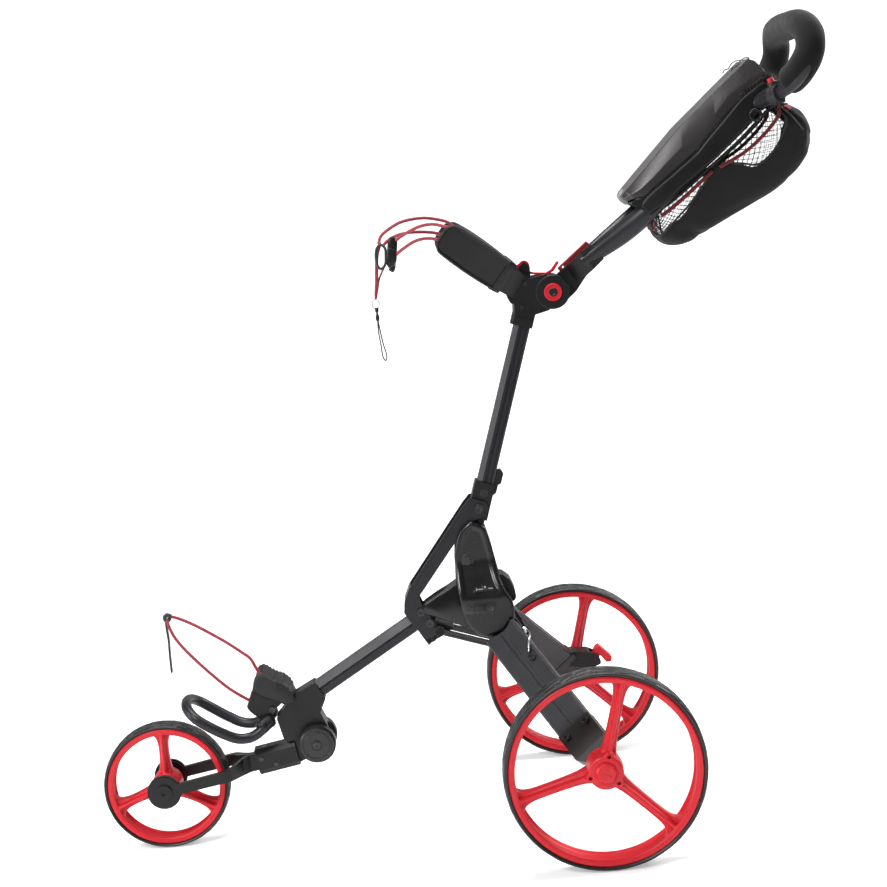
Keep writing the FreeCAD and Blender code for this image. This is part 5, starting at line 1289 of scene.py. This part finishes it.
# ---------------------------------------------------------------- lower bag support
# outlines (x, z)
SADDLE = [
    (449.5, 229.6), (451.8, 237.7), (461.3, 248.2), (473.1, 254), (484, 261), (492.5, 266.5),
    (499.5, 266), (505.5, 257), (507.2, 247), (507.5, 239.9), (496, 228.7), (477, 220.5),
    (458, 212.4), (447, 216)]
SADDLE_HALF_WIDTH = 33
BLOCK = [
    (510.2, 238), (515, 227), (519, 218.8), (520.5, 212.9), (513.9, 203.5), (505.4, 196),
    (496.9, 188.5), (487.8, 187.3), (482.5, 196), (476, 208), (468, 214), (477, 222), (495, 231)]


def make_saddle_pad():
    """Ribbed pad that sags in the middle, where the bag lies."""
    outline = smooth_outline(SADDLE, 8)
    mid_x, mid_z = outline.mean(0)
    spans = 28
    sections = []
    for i in range(spans + 1):
        y = -SADDLE_HALF_WIDTH + 2 * SADDLE_HALF_WIDTH * i / spans
        share = abs(y) / SADDLE_HALF_WIDTH
        past = max(0.0, (share - 0.86) / 0.14)
        scale = math.sqrt(max(0.0, 1 - past ** 2)) * 0.16 + 0.84
        section = []
        for x, z in outline:
            above = z - (222 + (x - 450) * 0.36)
            sag = -8.0 * (1 - share ** 2) * smoothstep(-3, 8, above)
            rib = 0.9 * math.sin((x * 0.86 + z * 0.5) * 1.05) * smoothstep(4, 12, above)
            section.append((mid_x + (x - mid_x) * scale - 0.42 * (sag * 0.2 + rib), y,
                            mid_z + (z - mid_z) * scale + sag + 0.9 * rib))
        sections.append(section)
    add_loft("bag_saddle_pad", sections, "rubber", "chassis", 60, "lower_bag_bracket")


def make_saddle_blocks():
    outline = smooth_outline(BLOCK, 5)
    # (y, scale)
    stations = ((17.7, 0.97), (19, 1.0), (23.5, 1.0), (25.2, 0.985), (26, 0.93))
    socket = [(487, 24.5, 190), (494, 30, 187), (500, 36, 182.5)]
    for side, tag in SIDES:
        # half shells either side of the knuckle
        add_loft("bag_saddle_block_" + tag, scaled_sections(outline, stations, side),
                 "plastic", "chassis", 30)
        rim = scaled_sections(outline, ((26.2, 0.93),), side)[0][::2]
        tube("bag_saddle_rim_" + tag, rim, 0.8, "gloss", "chassis", steps=2, sides=8,
             closed=True)
        # socket that holds the rest loop
        tube("bag_loop_socket_" + tag, on_side(socket, side), 11.2, "plastic", "chassis",
             steps=5, sides=24)


def make_rest_loop():
    loop = mirrored([
        (486.5, 30, 191), (494, 35, 185), (504, 38, 176.5), (519, 41, 170.0), (538, 45, 171.6),
        (561, 48, 183.5), (585, 49, 199.5), (599, 46, 210), (609.5, 33, 219), (614, 14, 223.5)])
    tube("bag_rest_loop_tube", loop, 8.0, "alu", "chassis", "bag_rest_loop", sides=24)


# ---------------------------------------------------------------- cords
def make_lower_cord():
    """Red cord, its black knot and a flat hanging tab."""
    upper = [(497, 0, 255), (503, 0, 268), (510.4, 1, 284.1), (520.3, 1, 293),
             (542.9, 1, 311.6), (567.4, 1, 329.1), (596, 1, 347.8), (618, 0, 358.5),
             (627, 0, 361)]
    lower = [(630.5, 4, 355.5), (627, 6, 343), (621.3, 8, 329.9), (610.5, 10, 313.5),
             (600.1, 11, 300.5), (572.7, 12, 269.4), (544.9, 12, 241.4), (523.4, 12, 225),
             (509.5, 12, 216)]
    knot = [(624.5, 0.5, 361.8), (628.5, 1.5, 363.4), (633.4, 1.0, 361.5), (633.0, 2.5, 356.5),
            (628.8, 2.0, 355.2), (626.3, -0.5, 359.8), (630.5, -2.5, 363.2),
            (634.5, -1.5, 358.2)]
    tab = [(632.8, 0, 355), (632.5, 0, 341), (631.6, 0, 324), (632.3, 0, 300.6),
           (632.4, 0, 273)]
    # tab section in half widths and half thicknesses
    strap = ((-1, -0.7), (-0.93, -1), (0.93, -1), (1, -0.7), (1, 0.7), (0.93, 1), (-0.93, 1),
             (-1, 0.7))

    def tab_section(_i, share):
        half_width = 4.8 if share < 0.93 else 4.2
        return [(a * half_width, b * 1.25) for a, b in strap]

    pieces = [
        tube("lower_cord_upper_run", upper, 2.5, "cord", "chassis", "lower_bag_strap"),
        tube("lower_cord_lower_run", lower, 2.5, "cord", "chassis"),
        tube("lower_cord_knot", knot, 3.1, "black_cord", "chassis", steps=5)]
    points, faces, uvs = sweep(catmull(tab, 6), tab_section)
    pieces.append(add_piece("lower_cord_tab", points, faces, "web", "chassis",
                            smooth_angle=40, uvs=uvs))
    return pieces


# runs from the arms in to the cord lock: far is the right side, near the left
UPPER_CORDS = {
    "far_upper": [(139, -66, 913.5), (146.1, -62, 919.2), (156.6, -58, 923.4),
                  (182.1, -46, 929.0), (215.0, -30, 926.6), (236.9, -15, 916.9),
                  (248.2, -6, 908.2), (252.0, -2, 898.7)],
    "near_upper": [(137, 67, 908), (141.7, 62, 911.8), (150.2, 58, 915.4), (168.7, 48, 920.8),
                   (186.5, 38, 919.6), (203.4, 26, 913.5), (220.5, 11, 904.6), (230, 3, 898.0)],
    "far_lower": [(149, -65, 895), (157.0, -60, 900.4), (165.9, -56, 904.4),
                  (187.1, -46, 908.2), (209.9, -34, 909.0), (227.7, -20, 906.0),
                  (240.5, -6, 899.5), (246, -2, 894)],
    "near_lower": [(142, 66, 887), (150.9, 60, 892.0), (162.1, 54, 897.3), (180.9, 42, 900.8),
                   (197.4, 32, 898.0), (214.2, 18, 889.1), (226.6, 6, 880.2), (232, 3, 874)],
}


def make_upper_cords():
    return [tube("upper_cord_" + name, points, 2.5, "cord", "mast", "upper_bag_strap", steps=9)
            for name, points in UPPER_CORDS.items()]


def make_cord_lock():
    outline = smooth_outline([
        (237.7, 900.9), (234.1, 906.0), (228.0, 906.8), (224.1, 900.6), (225.9, 883.4),
        (228.3, 868.6), (233.9, 861.5), (240.0, 860.6), (242.8, 866.9), (240.4, 887.6)], 5)
    # (y, scale)
    stations = ((-9, 0.72), (-8, 0.93), (-5.5, 1.0), (5.5, 1.0), (8, 0.93), (9, 0.72))
    button = [(233.5, 0, 866), (235, 0, 859.5), (236.6, 0, 856.8)]
    band = [(229.6, 9.3, 886), (233.2, 9.6, 888.6), (237.6, 9.3, 890), (237.9, 0, 890.4),
            (237.6, -9.3, 890), (233.2, -9.6, 888.6), (229.6, -9.3, 886), (228.9, 0, 885.6)]
    return [
        add_loft("cord_lock_body", scaled_sections(outline, stations), "gloss", "mast", 30,
                 "strap_buckle"),
        tube("cord_lock_button", button, 4.4, "plastic", "mast", steps=4, sides=20),
        tube("cord_lock_band", band, 1.1, "plastic", "mast", steps=4, sides=8, closed=True)]


def make_cord_pull():
    """Cord ends that hang from the lock, with a wire ring, a swivel and a lanyard."""
    loop = [(254.8, 3, 892.6), (248.6, 4, 896.0), (243.4, 4, 891.0), (243.1, 4, 879.0),
            (245.5, 4, 865.8), (252.0, 4, 860.4), (256.6, 3, 865.4), (258.0, 2, 880.5)]
    tail = [(250.5, 1, 899.4), (251.9, 0, 893.3), (256.0, -1, 881.7), (258.3, -1, 865.4),
            (260.8, 0, 840.1), (264.0, 0, 817.7)]
    thin = [(244.3, -2, 866.9), (251.1, -3, 855.5), (256.4, -3, 845.0), (260.4, -2, 829.4),
            (264.2, -1, 816.7)]
    ring = [(265.6, 0.5, 815.8), (260.0, 0, 809.7), (262.4, 0, 802.2), (268.8, 0, 803.5),
            (270.4, 0, 810.6)]
    lanyard = [(264.1, 0, 783.5), (262.4, 0, 769.1), (259.8, 0, 749.1), (256.0, 0, 728.0),
               (258.3, 0, 722.4), (261.4, 0, 727.0), (263.1, 0, 746.4), (264.9, 0, 767.8),
               (264.6, 0, 783.5)]
    # (radius, distance down from the top)
    swivel = [(0.05, 0), (2.4, 0), (2.9, 3), (2.4, 6), (1.5, 7.5), (1.5, 10), (2.7, 12),
              (2.9, 17), (2.0, 20), (0.05, 20)]
    swivel_points, swivel_faces = lathe(swivel, 0, 0, 20)
    swivel_points = [(264.4 + x, z, 803.0 - y) for x, y, z in swivel_points]

    def tail_taper(share):
        return 1.0 - 2.4 * max(0.0, share - 0.9)

    return [
        tube("black_cord_loop", loop, 2.1, "black_cord", "mast", steps=6, sides=10,
             closed=True),
        tube("red_pull_tail", tail, 2.7, "cord", "mast", taper=tail_taper),
        tube("red_pull_thin", thin, 1.5, "cord", "mast", sides=10),
        tube("pull_wire_ring", ring, 0.85, "steel", "mast", sides=8, closed=True),
        add_piece("pull_swivel", swivel_points, swivel_faces, "plastic", "mast"),
        tube("pull_lanyard", lanyard, 1.0, "black_cord", "mast", sides=8)]


def fold_away(lower, upper):
    """Give each soft piece its own copy of its mesh."""
    for obj in lower:
        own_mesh(obj)
    for obj in upper:
        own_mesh(obj)


# ---------------------------------------------------------------- hinge discs
def make_front_discs():
    """Ringed cap with a sunk hex screw on each side, behind the front wheel."""
    x, z = 419.0, 147.0
    cap = [(0.05, 34.2), (26.3, 34.2), (26.3, 35.6), (25.4, 36.4), (22.2, 36.6), (21.6, 36.0),
           (20.6, 36.0), (20.0, 36.6), (8.6, 36.9), (8.0, 36.3), (0.05, 36.3)]
    screw = [(6.2, 36.1), (6.2, 38.6), (5.4, 39.3), (3.1, 39.3), (3.1, 37.4)]
    screw_points, screw_faces = hex_head(screw, x, z, turn=20)
    for side, tag in SIDES:
        add_lathe("front_disc_cap_" + tag, cap, x, z, 72, side, "gloss", "chassis", 30)
        add_piece("front_disc_screw_" + tag, on_side(screw_points, side), screw_faces,
                  "black_steel", "chassis", smooth_angle=30)


def make_mast_discs():
    """Round hex-socket collar and a red ring on each side of the mast hinge."""
    z, face = 804.0, 35.5
    steps = 36
    points = []
    for k in range(steps):
        angle = 2 * math.pi * k / steps
        hexagon = 3.3 / math.cos((angle % (math.pi / 3)) - math.pi / 6)
        profile = ((6.6, face - 0.3), (6.6, face + 1.0), (6.0, face + 1.6),
                   (hexagon + 0.5, face + 1.6), (hexagon, face + 1.1), (hexagon, face - 0.3))
        points += [(r * math.cos(angle), y, z + r * math.sin(angle)) for r, y in profile]
    faces = revolved_faces(steps, len(profile))
    floor = [(0.05, face + 0.05), (3.9, face + 0.05), (3.9, face + 0.35), (0.05, face + 0.35)]
    ring = [(11.6, face - 0.2), (12.9, face - 0.2), (12.9, face + 0.7), (12.3, face + 1.1),
            (11.9, face + 0.9)]
    for side, tag in SIDES:
        add_piece("hinge_socket_" + tag, on_side(points, side), faces, "black_steel", "mast",
                  smooth_angle=35)
        add_lathe("hinge_socket_floor_" + tag, floor, 0, z, 24, side, "plastic", "mast")
        add_lathe("hinge_disc_ring_" + tag, ring, 0, z, 56, side, "red", "mast", 35)


# ---------------------------------------------------------------- studio
def make_camera():
    """Looks along -y at the trolley's left side, slightly down and rolled."""
    yaw, pitch, roll = (math.radians(a) for a in (-0.25, 7.96, 5.32))

    def turn(first, second, angle):
        c, s = math.cos(angle), math.sin(angle)
        return first * c + second * s, second * c - first * s

    right = np.array((-1.0, 0, 0))
    down = np.array((0, 0, -1.0))
    ahead = np.array((0, -1.0, 0))
    right, ahead = turn(right, ahead, yaw)
    ahead, down = turn(ahead, down, pitch)
    right, down = turn(right, down, roll)
    data = bpy.data.cameras.new("camera")
    camera = bpy.data.objects.new("camera", data)
    bpy.context.scene.collection.objects.link(camera)
    axes = Matrix(np.column_stack((right, -down, -ahead)).tolist())
    camera.matrix_world = Matrix.Translation(place(196, 2974, 1004)) @ axes.to_4x4()
    data.sensor_width = 36.0
    data.lens = 80.1984216
    data.clip_start = 0.05
    data.clip_end = 60
    bpy.context.scene.camera = camera


def floor_material():
    """Pale floor lifted towards white for the camera only, so it adds no light to the trolley."""
    material, g = new_material("pale_floor")
    clouds = g.node("TexNoise", {"Scale": 3.0})
    g.feed(g.surface, {"Base Color": g.ramp(clouds, (0.93, 0.93, 0.93), (0.94, 0.94, 0.94)),
                       "Roughness": 0.9, "Specular IOR Level": 0.05})
    position = g.node("NewGeometry", output="Position")
    distance = g.node("VectorMath", {0: position}, output="Value", operation="LENGTH")
    glow = g.math("MULTIPLY", g.node("LightPath", output="Is Camera Ray"),
                  g.remap(distance, 0.9, 3.6, 0.38, 0.84))
    emission = g.node("Emission", {"Color": (1, 1, 1, 1), "Strength": glow})
    both = g.node("AddShader", {0: g.surface.outputs[0], 1: emission})
    g.feed(g.output, {0: both})
    return material


def make_sweep():
    """Flat floor that curves up into a wall behind the trolley, in metres."""
    half_width, near, bend, radius, top = 9.0, 9.0, -2.2, 2.4, 9.0
    arc = [(bend - radius * math.sin(a), radius - radius * math.cos(a))
           for a in np.linspace(0.08, math.pi / 2, 18)]
    profile = [(near, 0.0), (bend, 0.0)] + arc + [(bend - radius, top)]
    points = [(x, y, z) for y, z in profile for x in (-half_width, half_width)]
    sweep_obj = link_mesh("studio_sweep", points, grid_faces(len(profile), 2))
    shade_smooth(sweep_obj.data)
    sweep_obj.data.materials.append(floor_material())


def make_world():
    """White to the camera, dim to everything else."""
    world = bpy.data.worlds.new("studio")
    bpy.context.scene.world = world
    world.use_nodes = True
    g = Graph(world.node_tree)
    seen = g.node("LightPath", output="Is Camera Ray")
    g.feed(g.tree.nodes["Background"],
           {"Color": (1, 1, 1, 1), "Strength": g.remap(seen, 0.0, 1.0, 0.17, 1.0)})


# name, location, target, width, height (all metres), power in watts
LIGHTS = [
    ("key", (1.5, 2.4, 2.5), (0, 0, 0.5), 0.9, 0.7, 66),
    ("top", (0.0, -0.1, 3.0), (0, 0, 0.4), 1.6, 0.8, 66),
    ("rim", (-1.9, -0.9, 1.9), (0, 0, 0.6), 0.6, 1.2, 42),
    ("front", (2.3, 0.5, 0.9), (0.2, 0, 0.4), 0.5, 1.2, 20),
]


def make_lights():
    for name, location, target, width, height, power in LIGHTS:
        data = bpy.data.lights.new(name, "AREA")
        data.energy = power
        data.shape = "RECTANGLE"
        data.size = width
        data.size_y = height
        light = bpy.data.objects.new(name, data)
        bpy.context.scene.collection.objects.link(light)
        light.location = location
        light.rotation_mode = "QUATERNION"
        aim = Vector(target) - Vector(location)
        light.rotation_quaternion = aim.to_track_quat("-Z", "Y")


# ---------------------------------------------------------------- build
dress_cad_pieces()
for wheel_spec in WHEELS:
    make_tyre(wheel_spec)
for wheel_spec in WHEELS:
    make_rim(wheel_spec)
make_grip_foam()
make_bag_shell()
make_bag_netting()
make_bag_trims()
make_lid()
make_lid_fittings()
make_bag_pads()
make_hub_covers()
make_hub_caps()
make_saddle_pad()
make_saddle_blocks()
make_rest_loop()
lower_cord = make_lower_cord()
upper_cord = make_upper_cords() + make_cord_lock() + make_cord_pull()
make_console_skirts()
make_grip_stubs()
make_front_discs()
make_mast_discs()
fold_away(lower_cord, upper_cord)

make_camera()
make_sweep()
make_world()
bpy.context.scene.view_settings.view_transform = "Standard"
bpy.context.scene.view_settings.look = "None"
make_lights()
